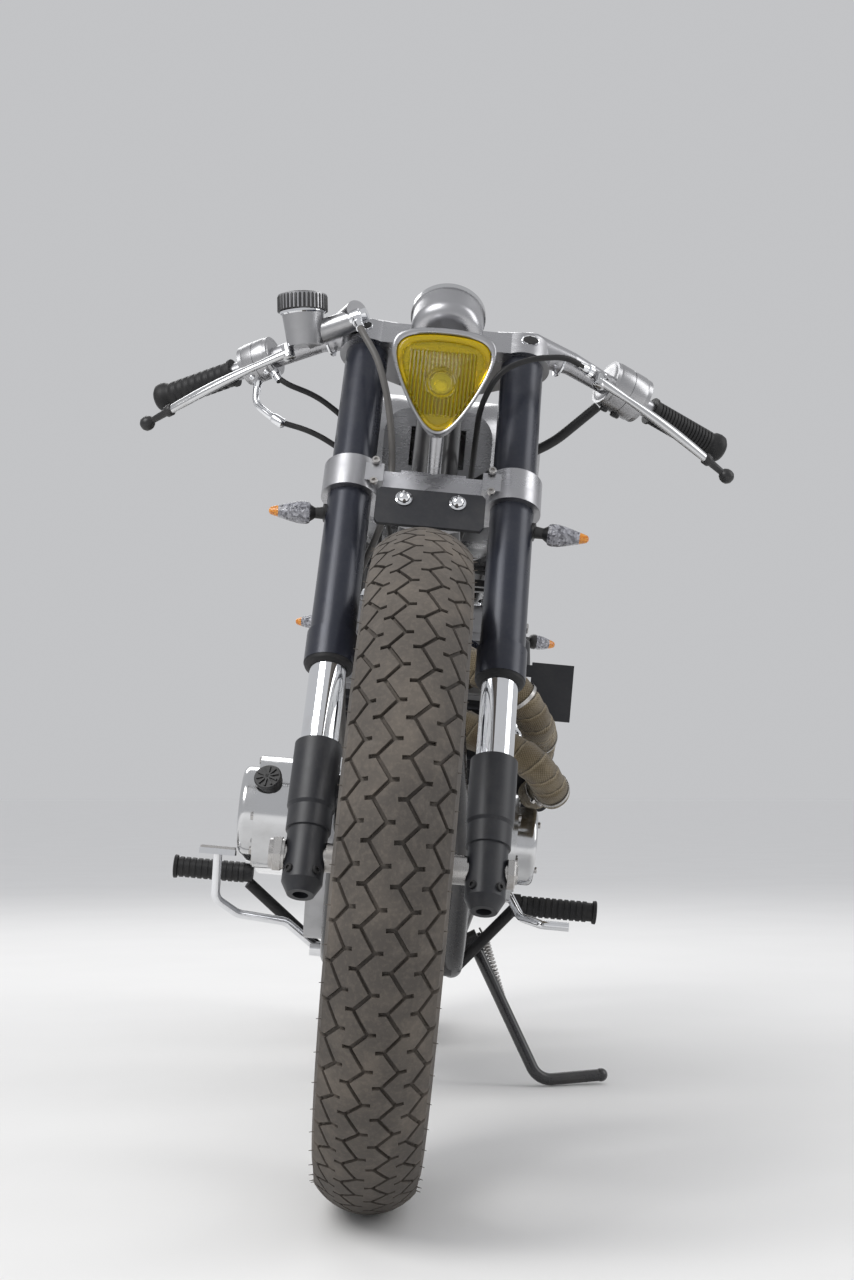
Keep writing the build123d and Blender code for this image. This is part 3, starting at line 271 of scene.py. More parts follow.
def heat_wrap():
    """Woven tape: the piece's own UV map runs round it and along it, in metres."""
    look = Finish("woven_tan_heat_wrap", (0.2, 0.155, 0.09), 0.9, Specular_IOR_Level=0.2, Sheen_Weight=0.25,
                  Sheen_Roughness=0.6)
    spot = look.place(source="UV")
    across, along = spot.part(0), spot.part(1)
    weave = across.wave(0.0034) * along.wave(0.0028)
    threads = look.noise(700.0, 4.0, 0.7)
    blotches = look.noise(22.0, 6.0, 0.65).ramp(0.35, 0.75)
    shade = look.mix(blotches, (0.115, 0.085, 0.045), (0.27, 0.215, 0.13))
    # Painted shade: the tape is darkened in the weave's hollows between the threads.
    shade = look.mix(weave.ramp(-0.6, 0.8, 0.45, 0.0), shade, (0.06, 0.045, 0.025))
    overlap = (along * (1000 / WRAP_PITCH) + across * (1 / WRAP_GIRTH)).maths("FRACT")
    # Painted shadow along each turn of the tape, just before the step where the next turn overlaps it.
    shade = look.mix(overlap.ramp(0.86, 1.0, 0.0, 0.8), shade, (0.035, 0.026, 0.015))
    # Painted highlight just past each step, which also stands for the tape's frayed threads.
    shade = look.mix(overlap.ramp(0.03, 0.16, 0.4, 0.0), shade, (0.4, 0.33, 0.22))
    look.set("Base Color", look.mix(threads.ramp(0.5, 0.8) * 0.35, shade, (0.36, 0.3, 0.2)))
    look.set("Normal", look.bump(threads, 0.35, 0.0006, Normal=look.bump(weave, 0.5, 0.0008)))
    return look


def yellow_glass():
    """Deep yellow glass, with a block of flutes and a ringed boss pressed into it, and painted light and
    shade on the flutes.
    """
    look = Finish("deep_yellow_lens_glass", (0.95, 0.76, 0.012), 0.03, IOR=1.5, Transmission_Weight=0.82)
    spot = look.place(turn=(0, LEAN, 0), centre=HOME @ Vector((0, LAMP_FRONT, LAMP_BOSS_Z)))
    x, z, reach = spot.part(0), spot.part(2), spot.length()
    flutes = x.wave(0.0042)
    block = x.maths("ABSOLUTE").ramp(0.036, 0.038, 1.0, 0.0)
    block *= z.maths("ABSOLUTE").ramp(0.034, 0.036, 1.0, 0.0)
    core = reach.ramp(0.0125, 0.0135, 1.0, 0.0)
    ring = reach.ramp(0.0185, 0.0195, 1.0, 0.0) * (1 - core)
    # Painted highlights and shade: each flute runs from dark amber in its trough to bright yellow on its
    # crest.
    streaks = look.mix((flutes + 1) * 0.5, (0.74, 0.48, 0.004), (1.0, 0.95, 0.04))
    glass = look.mix(block * (1 - ring), (0.92, 0.74, 0.012), streaks)
    look.set("Base Color", look.mix(core, glass, (0.95, 0.82, 0.08)))
    height = flutes * block * (1 - core) * (1 - ring) + reach.wave(0.0036) * ring
    look.set("Normal", look.bump(height, 1.0, 0.0014))
    return look


def leather():
    look = Finish("black_stitched_leather", (0.022, 0.018, 0.015), 0.5, Specular_IOR_Level=0.45)
    wear = look.noise(11.0, 5.0, 0.6).ramp(0.45, 0.75)
    look.set("Base Color", look.mix(wear * 0.6, (0.02, 0.016, 0.014), (0.055, 0.042, 0.032)))
    look.set("Roughness", wear * 0.15 + 0.42)
    look.set("Normal", look.bump(look.cells(420.0, "DISTANCE_TO_EDGE").ramp(0.0, 0.25), 0.35, 0.0006))
    return look


RECIPES = {
    "tyre": tyre_rubber, "disc": disc_steel, "wrap": heat_wrap, "yellow": yellow_glass, "clear": clear_lens,
    "leather": leather,
    "coated": lambda: painted("blue_black_satin_coating", (0.018, 0.021, 0.034), (0.06, 0.06, 0.065), 0.3,
                              24.0, 0.27, 0.35, (1100.0, 2.0, 0.1, 0.0002), 0.12, Metallic=0.35,
                              Coat_Weight=0.25, Coat_Roughness=0.25),
    "sleeve": lambda: painted("satin_black_sleeve", (0.014, 0.015, 0.019), (0.075, 0.07, 0.065), 0.22, 30.0,
                              0.4, 0.4, (1500.0, 2.0, 0.12, 0.0002), Specular_IOR_Level=0.5),
    "frame": lambda: painted("black_frame_paint", (0.012, 0.012, 0.014), (0.085, 0.075, 0.065), 0.35, 12.0,
                             0.26, 0.5, (420.0, 3.0, 0.08, 0.0003), Coat_Weight=0.5, Coat_Roughness=0.15),
    "rubber": lambda: painted("matt_black_rubber", (0.011, 0.011, 0.012), (0.07, 0.065, 0.06), 0.25, 20.0,
                              0.48, 0.4, (1400.0, 2.0, 0.2, 0.0002), Specular_IOR_Level=0.35),
    "plastic": lambda: painted("moulded_black_plastic", (0.015, 0.015, 0.016), (0.09, 0.08, 0.07), 0.2, 18.0,
                               0.38, 0.4, (1600.0, 2.0, 0.15, 0.0002)),
    "hose": lambda: painted("grey_brake_hose", (0.1, 0.095, 0.09), (0.2, 0.18, 0.16), 0.3, 25.0,
                            0.42, 0.3, (1300.0, 2.0, 0.15, 0.0002)),
    "chrome": lambda: bare_metal("polished_chrome", (0.84, 0.85, 0.87), (0.7, 0.69, 0.68), 0.4,
                                 (30.0, 5.0, 0.65, 0.5, 0.8), 0.04, 0.14),
    "polished": lambda: bare_metal("polished_aluminium", (0.64, 0.645, 0.655), (0.4, 0.39, 0.37), 0.35,
                                   (22.0, 6.0, 0.65, 0.45, 0.8), 0.12, 0.2, (520.0, 0.06, 0.0002)),
    "steel": lambda: bare_metal("ground_steel", (0.5, 0.49, 0.48), (0.3, 0.26, 0.22), 0.5,
                                (35.0, 6.0, 0.65, 0.45, 0.75), 0.26, 0.25, (800.0, 0.12, 0.0003)),
    "chain": lambda: bare_metal("oiled_chain_steel", (0.3, 0.28, 0.25), (0.07, 0.055, 0.04), 1.0,
                                (120.0, 5.0, 0.7, 0.4, 0.7), 0.26, 0.3, (700.0, 0.15, 0.0003)),
    "cast": lambda: cast_aluminium("satin_cast_aluminium", (0.45, 0.45, 0.46), 0.34, 700.0, 0.4),
    "brushed": lambda: cast_aluminium("brushed_aluminium", (0.47, 0.47, 0.485), 0.32, 900.0, 0.25),
    # The tank's aluminium is darker than the other brushed parts: painted shade where the bars and the lamp
    # shadow it.
    "tank": lambda: cast_aluminium("hand_brushed_tank_painted_shade", (0.36, 0.36, 0.37), 0.3, 500.0, 0.35),
    "mirror": lambda: even_coat("silvered_reflector", (0.9, 0.9, 0.88), 1.0, (50.0, 3.0),
                                0.4, 0.8, 0.04, 0.14),
    "marks": lambda: even_coat("pale_dial_paint", (0.7, 0.69, 0.66), 0.0, (300.0, 2.0), 0.3, 0.7, 0.42, 0.6),
    "amber": lambda: coloured_lens("amber_lens", (0.95, 0.42, 0.03), (0.6, 0.13, 0.004), 380.0, 0.7, 0.12,
                                   IOR=1.49, Transmission_Weight=0.2, Coat_Weight=0.6),
    "red": lambda: coloured_lens("red_lens", (0.5, 0.012, 0.008), (0.2, 0.003, 0.003), 260.0, 0.6, 0.1,
                                 Coat_Weight=0.7),
}
FINISHES = {}
# The finish of each imported node, listed by finish
NODE_FINISHES = {node: finish for finish, nodes in {
    "tyre": "front_tyre rear_tyre",
    "polished": "front_spoked_wheel rear_spoked_wheel brake_and_clutch_levers engine_side_covers fuel_cap",
    "disc": "front_brake_disc",
    "steel": "rear_sprocket front_axle rear_axle drive_chain",
    "coated": "fork_outer_tubes",
    "chrome": "fork_stanchions rear_shock_absorbers rear_brake_pedal gear_lever",
    "sleeve": "fork_axle_sleeves cylinder_barrels silencer front_brake_caliper yoke_shield rectifier",
    "brushed": "lower_yoke handlebars headlamp_shell instrument rear_mudguard",
    "rubber": "handlebar_grips rider_footrests control_cables",
    "yellow": "headlamp_lens",
    "frame": "frame_backbone frame_cradle frame_seat_rails swingarm side_stand",
    "cast": "engine_cases cylinder_head rocker_cover carburettors brake_master_cylinder handlebar_housings "
            "rear_brake_plate",
    "plastic": "oil_filler_cap battery_box",
    "wrap": "exhaust_pipes", "tank": "fuel_tank", "leather": "seat", "red": "tail_lamp",
    "amber": "rear_indicators", "clear": "front_indicators", "hose": "front_brake_hose",
}.items() for node in nodes.split()}


def finish_named(name):
    if name not in FINISHES:
        FINISHES[name] = RECIPES[name]()
    return FINISHES[name].material


# Mesh making, in millimetres

def axis(start, direction):
    """A frame at start whose Z runs along direction."""
    z = Vector(direction).normalized()
    x = Vector(UP).cross(z)
    if x.length < 1e-4:
        x = Vector(LEFT).cross(z)
    x.normalize()
    return Matrix.Translation(start) @ Matrix((x, z.cross(x), z)).transposed().to_4x4()


def polar(radius, angle, along=0.0):
    return Vector((radius * cos(angle), radius * sin(angle), along))


def turns(count):
    """Angles evenly spaced round a circle."""
    return [2 * pi * i / count for i in range(count)]


def blanks(count):
    return [bmesh.new() for _ in range(count)]


def loft(bm, rings, closed_ends=True, looped=False):
    """Quads between rings of the same number of points, with a face on each end."""
    rows = [[bm.verts.new(point) for point in ring] for ring in rings]
    count = len(rows[0])
    for low, high in list(zip(rows, rows[1:])) + ([(rows[-1], rows[0])] if looped else []):
        for i in range(count):
            j = (i + 1) % count
            bm.faces.new((low[i], low[j], high[j], high[i]))
    if closed_ends and not looped:
        bm.faces.new(list(reversed(rows[0])))
        bm.faces.new(rows[-1])
    return rows


def lathe(bm, place, profile, sides=32):
    """A turned solid about a frame's Z: the profile lists distances along it and radii."""
    loft(bm, [[place @ polar(max(radius, 0.01), angle, along) for angle in turns(sides)]
              for along, radius in profile])


def lathe_ring(bm, place, profile, sides=96):
    """A ring turned about a frame's Z from a closed profile of distances and radii."""
    loft(bm, [[place @ polar(radius, angle, along) for along, radius in profile] for angle in turns(sides)],
         looped=True)


def fluted(bm, place, levels, count, depth):
    """A turned solid whose sides are fluted count times round. levels lists distances and outer radii."""
    loft(bm, [[place @ polar(radius if i % 4 < 2 else radius - depth, angle, along)
               for i, angle in enumerate(turns(4 * count))] for along, radius in levels])


def prism(bm, place, outline, low, high):
    """An outline on a frame's X and Y, drawn out from low to high along its Z."""
    loft(bm, [[place @ Vector((x, y, z)) for x, y in outline] for z in (low, high)])


def slab(bm, low, high):
    """A box between two corners."""
    (x0, y0, z0), (x1, y1, z1) = low, high
    prism(bm, Matrix(), ((x0, y0), (x1, y0), (x1, y1), (x0, y1)), z0, z1)


def hexagon(bm, place, radius, low, high):
    """A hexagon head with a chamfered top."""
    lathe(bm, place, [(low, radius), (high - 1, radius), (high, radius * 0.86)], 6)


def hex_collar(bm, place, bore, radius, height):
    """A hexagon nut round a bar."""
    lathe_ring(bm, place, [(0, bore), (0, radius), (height - 1.5, radius), (height, radius * 0.9),
                           (height, bore)], 6)


def socket_screw(bm, place, radius, height):
    """A round head with a round recess."""
    lathe(bm, place, [(0, radius), (height - 0.6, radius), (height, radius * 0.88), (height, radius * 0.5),
                      (height * 0.45, radius * 0.46)], 18)


def screw_circle(bm, centre, way, reach, angles, radius, height):
    """Screws round a centre, on a side face: reach gives how far they lie from it along Y and along Z."""
    for angle in angles:
        spot = Vector(centre) + Vector((0, reach[0] * cos(radians(angle)), reach[1] * sin(radians(angle))))
        socket_screw(bm, axis(spot, way), radius, height)


def bent_path(points, bends, step=4.0):
    """Straight runs joined by arcs, as a row of points a few millimetres apart."""
    points = [Vector(point) for point in points]
    corners = [(points[0], points[0], None)]
    for before, corner, after, bend in zip(points, points[1:], points[2:], bends):
        way_in, way_out = (corner - before).normalized(), (after - corner).normalized()
        half = way_in.angle(way_out) / 2
        cut = bend * tan(half)
        corners.append((corner - way_in * cut, corner + way_out * cut, (way_in, way_out, half, bend)))
    corners.append((points[-1], points[-1], None))
    row = []
    for (start, end, turn), (following, _, _) in zip(corners, corners[1:] + [corners[-1]]):
        if turn:
            way_in, way_out, half, bend = turn
            inward = (way_out - way_in).normalized()
            centre = start + (inward - way_in * inward.dot(way_in)).normalized() * bend
            pieces = max(3, round(2 * half * bend / step))
            for i in range(pieces + 1):
                turned = Matrix.Rotation(2 * half * i / pieces, 4, way_in.cross(way_out))
                row.append(centre + turned @ (start - centre))
        else:
            row.append(start)
        pieces = max(1, round((following - end).length / step))
        row += [end.lerp(following, i / pieces) for i in range(1, pieces)]
    return row


def cord_path(points, step):
    """A cable's path, its arcs as large as its straight runs allow."""
    ways = [Vector(end) - Vector(start) for start, end in zip(points, points[1:])]
    bends = [0.45 * min(before.length, after.length) / tan(before.angle(after) / 2)
             for before, after in zip(ways, ways[1:])]
    return bent_path(points, bends, step)


def carried_frames(path):
    """A frame at each point of a path, turning no more than the path does."""
    frames = []
    x = (path[1] - path[0]).normalized().orthogonal().normalized()
    for before, point, after in zip(path[:1] + path, path, path[1:] + path[-1:]):
        way = (after - before).normalized()
        x = (x - way * x.dot(way)).normalized()
        frames.append(Matrix.Translation(point) @ Matrix((x, way.cross(x), way)).transposed().to_4x4())
    return frames


def pipe(bm, path, radius, sides=16, mapped=None, squash=1.0):
    """A tube along a path. radius may be a function of the distance along it and the angle round it.

    mapped is the radius at which its UV map is measured, in metres round it and along it.
    """
    travelled = [0.0]
    for start, end in zip(path, path[1:]):
        travelled.append(travelled[-1] + (end - start).length)
    rings = []
    for place, along in zip(carried_frames(path), travelled):
        reaches = [radius(along, angle) if callable(radius) else radius for angle in turns(sides)]
        rings.append([place @ Vector((reach * cos(angle), squash * reach * sin(angle), 0))
                      for reach, angle in zip(reaches, turns(sides))])
    rows = loft(bm, rings)
    if mapped is None:
        return
    layer = bm.loops.layers.uv.verify()
    places = {vert: (k, row) for row, ring in enumerate(rows) for k, vert in enumerate(ring)}
    for face in bm.faces:
        around = [places[loop.vert][0] for loop in face.loops]
        wraps = len(around) == 4 and max(around) - min(around) > 1
        for loop in face.loops:
            k, row = places[loop.vert]
            k = sides if wraps and k == 0 else k
            loop[layer].uv = (k * 2 * pi * mapped / sides * 0.001, travelled[row] * 0.001)


def coil(bm, start, end, radius, wire, count, sides=8, steps=20):
    """A coil spring between two points, its end turns closed up."""
    way = Vector(end) - Vector(start)
    path = []
    for i in range(count * steps + 1):
        part = i / (count * steps)
        rise = wire + (way.length - 2 * wire) * (part - 0.035 * sin(2 * pi * part))
        path.append(axis(start, way) @ polar(radius, 2 * pi * count * part, rise))
    pipe(bm, path, wire, sides)


def mesh_of(name, bm):
    mesh = bpy.data.meshes.new(name)
    bm.to_mesh(mesh)
    bm.free()
    return mesh


def linked(name, data):
    made = bpy.data.objects.new(name, data)
    bpy.context.scene.collection.objects.link(made)
    return made


def make_object(name, bm, place=HOME, smooth=35.0, outward=True):
    """The bmesh as an object at the origin, in the frame's metres."""
    bm.transform(place)
    if outward:
        bmesh.ops.recalc_face_normals(bm, faces=bm.faces)
    mesh = mesh_of(name, bm)
    mesh.shade_smooth()
    mesh.set_sharp_from_angle(angle=radians(smooth))
    return linked(name, mesh)


def dress(piece, body, finish, *nodes, slot=None):
    """Gives a piece its finish and its body, and hides the nodes that it stands for."""
    piece.data.materials.clear()
    piece.data.materials.append(finish_named(finish))
    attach(piece, body)
    if nodes:
        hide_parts(*nodes)


def fit(name, bm, body, finish, *nodes, slot=None, **making):
    """Makes the bmesh a dressed piece of its body."""
    dress(make_object(name, bm, **making), body, finish, *nodes, slot=slot)


def stretch(name, bm, bodies, start, end, finish, **making):
    """Makes the bmesh a piece in the frame's metres, with its finish; bodies, start and end are not used."""
    piece = make_object(name, bm, **making)
    piece.data.materials.append(finish_named(finish))
    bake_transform(piece)
    return piece


# Geometry Nodes

SOCKETS = {"Geometry": "NodeSocketGeometry", "Count": "NodeSocketInt", "Step": "NodeSocketFloat",
           "Path": "NodeSocketObject", "Material": "NodeSocketMaterial"}
TREES = {}


def copies_tree(name, inputs, kinds, wires):
    """A node tree that sets copies of its own mesh on points, joins them and gives them a material.

    kinds names its further nodes. Each wire goes from a node's output to a node's input.
    """
    tree = bpy.data.node_groups.new(name, "GeometryNodeTree")
    for socket in inputs:
        tree.interface.new_socket(socket, in_out="INPUT", socket_type=SOCKETS[socket])
    tree.interface.new_socket("Geometry", in_out="OUTPUT", socket_type=SOCKETS["Geometry"])
    kinds = {"given": "NodeGroupInput", "result": "NodeGroupOutput", "copies": "GeometryNodeInstanceOnPoints",
             "whole": "GeometryNodeRealizeInstances", "coat": "GeometryNodeSetMaterial", **kinds}
    nodes = {label: tree.nodes.new(kind) for label, kind in kinds.items()}
    for source, output, target, entry in (
            ("given", "Geometry", "copies", "Instance"), ("copies", "Instances", "whole", "Geometry"),
            ("given", "Material", "coat", "Material"), ("coat", "Geometry", "result", "Geometry"), *wires):
        tree.links.new(nodes[source].outputs[output], nodes[target].inputs[entry])
    return tree, nodes


def turned_copies():
    """Turns its mesh about X by Step, Count times, and merges the seams."""
    tree, nodes = copies_tree(
        "turned_copies", ("Geometry", "Count", "Step", "Material"),
        {"line": "GeometryNodeMeshLine", "index": "GeometryNodeInputIndex", "angle": "ShaderNodeMath",
         "euler": "ShaderNodeCombineXYZ", "merge": "GeometryNodeMergeByDistance"},
        (("given", "Count", "line", "Count"), ("line", "Mesh", "copies", "Points"),
         ("index", "Index", "angle", 0), ("given", "Step", "angle", 1), ("angle", "Value", "euler", "X"),
         ("euler", "Vector", "copies", "Rotation"), ("whole", "Geometry", "merge", "Geometry"),
         ("merge", "Geometry", "coat", "Geometry")))
    nodes["line"].inputs["Offset"].default_value = (0, 0, 0)
    nodes["angle"].operation = "MULTIPLY"
    nodes["merge"].inputs["Distance"].default_value = 0.01
    return tree


def copies_on_path():
    """Sets its mesh along a curve, Count times, its Z along the curve."""
    tree, nodes = copies_tree(
        "copies_on_path", ("Geometry", "Path", "Count", "Material"),
        {"path": "GeometryNodeObjectInfo", "points": "GeometryNodeCurveToPoints"},
        (("given", "Path", "path", "Object"), ("path", "Geometry", "points", "Curve"),
         ("given", "Count", "points", "Count"), ("points", "Points", "copies", "Points"),
         ("points", "Rotation", "copies", "Rotation"), ("whole", "Geometry", "coat", "Geometry")))
    nodes["points"].mode = "COUNT"
    return tree


def repeated(name, bm, count, body, finish, *nodes, route=None, place=HOME, smooth=35.0):
    """The bmesh repeated round X, or along a route, as a plain mesh in the frame's metres."""
    piece = linked(name, mesh_of(name, bm))
    grow = copies_on_path if route else turned_copies
    if grow not in TREES:
        TREES[grow] = grow()
    modifier = piece.modifiers.new("Copies", "NODES")
    modifier.node_group = TREES[grow]
    values = {"Count": count, "Step": 2 * pi / count, "Path": route, "Material": finish_named(finish)}
    for item in TREES[grow].interface.items_tree:
        if item.in_out == "INPUT" and item.name in values:
            modifier[item.identifier] = values[item.name]
    graph = bpy.context.evaluated_depsgraph_get()
    made = bpy.data.meshes.new_from_object(piece.evaluated_get(graph))
    piece.modifiers.clear()
    piece.data = made
    made.transform(place)
    made.shade_smooth()
    made.set_sharp_from_angle(angle=radians(smooth))
    dress(piece, body, finish, *nodes)


# Tyres

TREAD_HALF, TREAD_DROP, TYRE_HALF, BEAD_HALF = 49.0, 24.0, 53.0, 37.0
CROWN = (TREAD_HALF ** 2 + TREAD_DROP ** 2) / (2 * TREAD_DROP)
CROWN_ARC = CROWN * asin(TREAD_HALF / CROWN)
WALL_STRIP = 7.0
GROOVE_HALF, GROOVE_DEPTH, SHOULDER_DEPTH = 1.85, 5.0, 4.2
ZIGZAGS, ZIGZAG_HALF, NIB, SHOULDER_NIB = (-43.0, -15.0, 15.0, 43.0), 7.2, 6.4, 14.0
TREAD_ROWS, TREAD_COLUMNS = 4, 18


def tread_point(s, t, depth, radius):
    """A point of the tread: s across the crown, t round the wheel, depth below the surface."""
    side, reach = (1 if s > 0 else -1), abs(s)
    if reach <= CROWN_ARC - 0.01:
        angle = reach / CROWN
        x, r = CROWN * sin(angle), radius - CROWN + CROWN * cos(angle)
        nx, nr = sin(angle), cos(angle)
    else:
        down = reach - CROWN_ARC
        x, r = TREAD_HALF + down * 0.16, radius - TREAD_DROP - down
        nx, nr = (0.92, 0.39) if down < 0.01 else (1.0, 0.0)
    x, r = x - depth * nx, r - depth * nr
    return Vector((side * x, -r * sin(t / radius), r * cos(t / radius)))


def groove_strips(pitch):
    """The corners of the grooves' strips: zigzags with a nib at each bend, over three pitches."""
    def strip(start, end, wide):
        way = (end - start).normalized()
        side = Vector((-way.y, way.x)) * wide
        start, end = start - way * wide * 0.6, end + way * wide * 0.6
        return [start - side, end - side, end + side, start + side]

    for middle in ZIGZAGS:
        for turn in (-1, 0, 1):
            top = pitch * (turn + 0.22)
            right = Vector((middle + ZIGZAG_HALF, top))
            left = Vector((middle - ZIGZAG_HALF, top + pitch * 16 / 37))
            yield strip(right, left, GROOVE_HALF)
            yield strip(left, Vector((middle + ZIGZAG_HALF, top + pitch)), GROOVE_HALF)
            out = SHOULDER_NIB if middle == ZIGZAGS[-1] else NIB
            yield strip(right, right + Vector((out, -0.6)), GROOVE_HALF * 1.12)
            out = SHOULDER_NIB if middle == ZIGZAGS[0] else NIB
            yield strip(left, left - Vector((out, -0.6)), GROOVE_HALF * 1.12)


def tread_tile(pitch, radius):
    """One pitch of the tread, its zigzag grooves cut as one triangulated sheet."""
    reach = CROWN_ARC + WALL_STRIP
    points = [Vector((-reach, 0)), Vector((reach, 0)), Vector((reach, pitch)), Vector((-reach, pitch))]
    faces, edges = [[0, 1, 2, 3]], []
    for corners in groove_strips(pitch):
        if any(-6 < corner.y < pitch + 6 for corner in corners):
            faces.append(list(range(len(points), len(points) + 4)))
            points += corners
    for edge in (-CROWN_ARC, CROWN_ARC):
        edges.append((len(points), len(points) + 1))
        points += [Vector((edge, 0)), Vector((edge, pitch))]
    points += [Vector((-CROWN_ARC + 2 * CROWN_ARC * column / TREAD_COLUMNS, pitch * row / TREAD_ROWS))
               for row in range(TREAD_ROWS + 1) for column in range(1, TREAD_COLUMNS)]
    found, _, tiles, _, _, sources = delaunay_2d_cdt(points, edges, faces, 0, 0.001, True)
    bm = bmesh.new()
    verts = [bm.verts.new((point.x, point.y, 0)) for point in found]
    cut = []
    for tile, source in zip(tiles, sources):
        middle = sum((found[i] for i in tile), Vector((0, 0))) / len(tile)
        if 0 < middle.y < pitch and abs(middle.x) < reach:
            face = bm.faces.new([verts[i] for i in tile])
            if any(number > 0 for number in source):
                cut.append(face)
    for item in bmesh.ops.extrude_face_region(bm, geom=cut)["geom"]:
        if isinstance(item, bmesh.types.BMVert):
            item.co.z = GROOVE_DEPTH if abs(item.co.x) < 30 else SHOULDER_DEPTH
    bmesh.ops.delete(bm, geom=cut, context="FACES")
    ends = [face for face in bm.faces
            if any(all(abs(vert.co.y - line) < 0.001 for vert in face.verts) for line in (0, pitch))
            or all(abs(abs(vert.co.x) - reach) < 0.001 for vert in face.verts)]
    bmesh.ops.delete(bm, geom=ends, context="FACES")
    bmesh.ops.delete(bm, geom=[vert for vert in bm.verts if not vert.link_faces], context="VERTS")
    for vert in bm.verts:
        vert.co = tread_point(*vert.co, radius)
    for side, t in ((-1, 0.3), (1, 0.7)):
        root = tread_point(side * (CROWN_ARC + 2.5), pitch * t, 0.3, radius)
        out = Vector((side, 0, 0)) + root.normalized() * 0.25
        lathe(bm, axis(root, out), [(0, 0.75), (2.2, 0.4), (4.6, 0.3)], 5)
    return bm


def tyre(end, axle, radius, bead, count):
    """The front or rear tyre: its tread from one pitch, and its turned sidewalls."""
    body = end + "_wheel"
    bm = tread_tile(2 * pi * radius / count, radius)
    bmesh.ops.recalc_face_normals(bm, faces=bm.faces)
    top = max(bm.faces, key=lambda face: face.calc_center_median().length if abs(face.normal.x) < 0.3 else 0)
    if top.normal.dot(top.calc_center_median()) < 0:
        bmesh.ops.reverse_faces(bm, faces=bm.faces)
    repeated(end + "_tyre_rubber_tread", bm, count, body, "tyre", end + "_tyre", place=HOME @ axle, smooth=30)
    edge = radius - TREAD_DROP - WALL_STRIP
    outer = TREAD_HALF + WALL_STRIP * 0.16
    side = [(outer, edge), (outer + 0.5, edge - 4), (TYRE_HALF - 0.9, edge - 9), (TYRE_HALF - 0.2, edge - 18),
            (TYRE_HALF - 0.9, edge - 24), (TYRE_HALF - 0.1, edge - 25), (TYRE_HALF - 1.2, edge - 27),
            (49.0, edge - 36), (45.2, edge - 45), (45.6, edge - 46), (44.0, edge - 47.5), (40.6, bead + 12),
            (37.2, bead + 9.2), (BEAD_HALF, bead + 7), (BEAD_HALF, bead)]
    profile = side + [(-x, r) for x, r in reversed(side)] + [(-outer + 6, edge + 1), (outer - 6, edge + 1)]
    walls = bmesh.new()
    lathe_ring(walls, Matrix.Rotation(pi / 2, 4, "Y"), profile, 160)
    fit(end + "_tyre_rubber_sidewalls", walls, body, "tyre", place=HOME @ axle)


# Headlamp

LAMP_FRONT, LAMP_HALF, LAMP_TOP, LAMP_TIP = 108.0, 66.0, 917.0, 790.0
LAMP_BOSS_Z, LAMP_MIDDLE_Z = 862.0, 866.0
SIDE_POINTS, EASING_PASSES = 22, 26


def arc_through(start, middle, end, count):
    """Points of the arc through three points of a plane."""
    ax, ay, bx, by, cx, cy = *start, *middle, *end
    a, b, c = (x ** 2 + y ** 2 for x, y in (start, middle, end))
    d = 2 * (ax * (by - cy) + bx * (cy - ay) + cx * (ay - by))
    ux = (a * (by - cy) + b * (cy - ay) + c * (ay - by)) / d
    uy = (a * (cx - bx) + b * (ax - cx) + c * (bx - ax)) / d
    radius = sqrt((ax - ux) ** 2 + (ay - uy) ** 2)
    first, last = atan2(ay - uy, ax - ux), atan2(cy - uy, cx - ux)
    swing = (last - first) % (2 * pi)
    if swing > pi:
        swing -= 2 * pi
    return [(ux + radius * cos(first + swing * i / count), uy + radius * sin(first + swing * i / count))
            for i in range(count)]


def lamp_ring(grow, depth, share=1.0):
    """The lamp's rounded triangle at a depth, its corners eased, drawn in towards its middle by share."""
    half, top, tip = LAMP_HALF + grow, LAMP_TOP + grow, LAMP_TIP - grow
    middle = (top + tip) / 2 - 3.5
    row = arc_through((-half, top), (0, top + 7), (half, top), SIDE_POINTS)
    row += arc_through((half, top), (half / 2 + 7, middle), (0, tip), SIDE_POINTS)
    row += arc_through((0, tip), (-half / 2 - 7, middle), (-half, top), SIDE_POINTS)
    for _ in range(EASING_PASSES):
        row = [tuple((0.5 * b[k] + 0.25 * a[k] + 0.25 * c[k]) for k in (0, 1))
               for a, b, c in zip(row[-1:] + row[:-1], row, row[1:] + row[:1])]
    return [Vector((x * share, LAMP_FRONT + depth, LAMP_MIDDLE_Z + (z - LAMP_MIDDLE_Z) * share))
            for x, z in row]


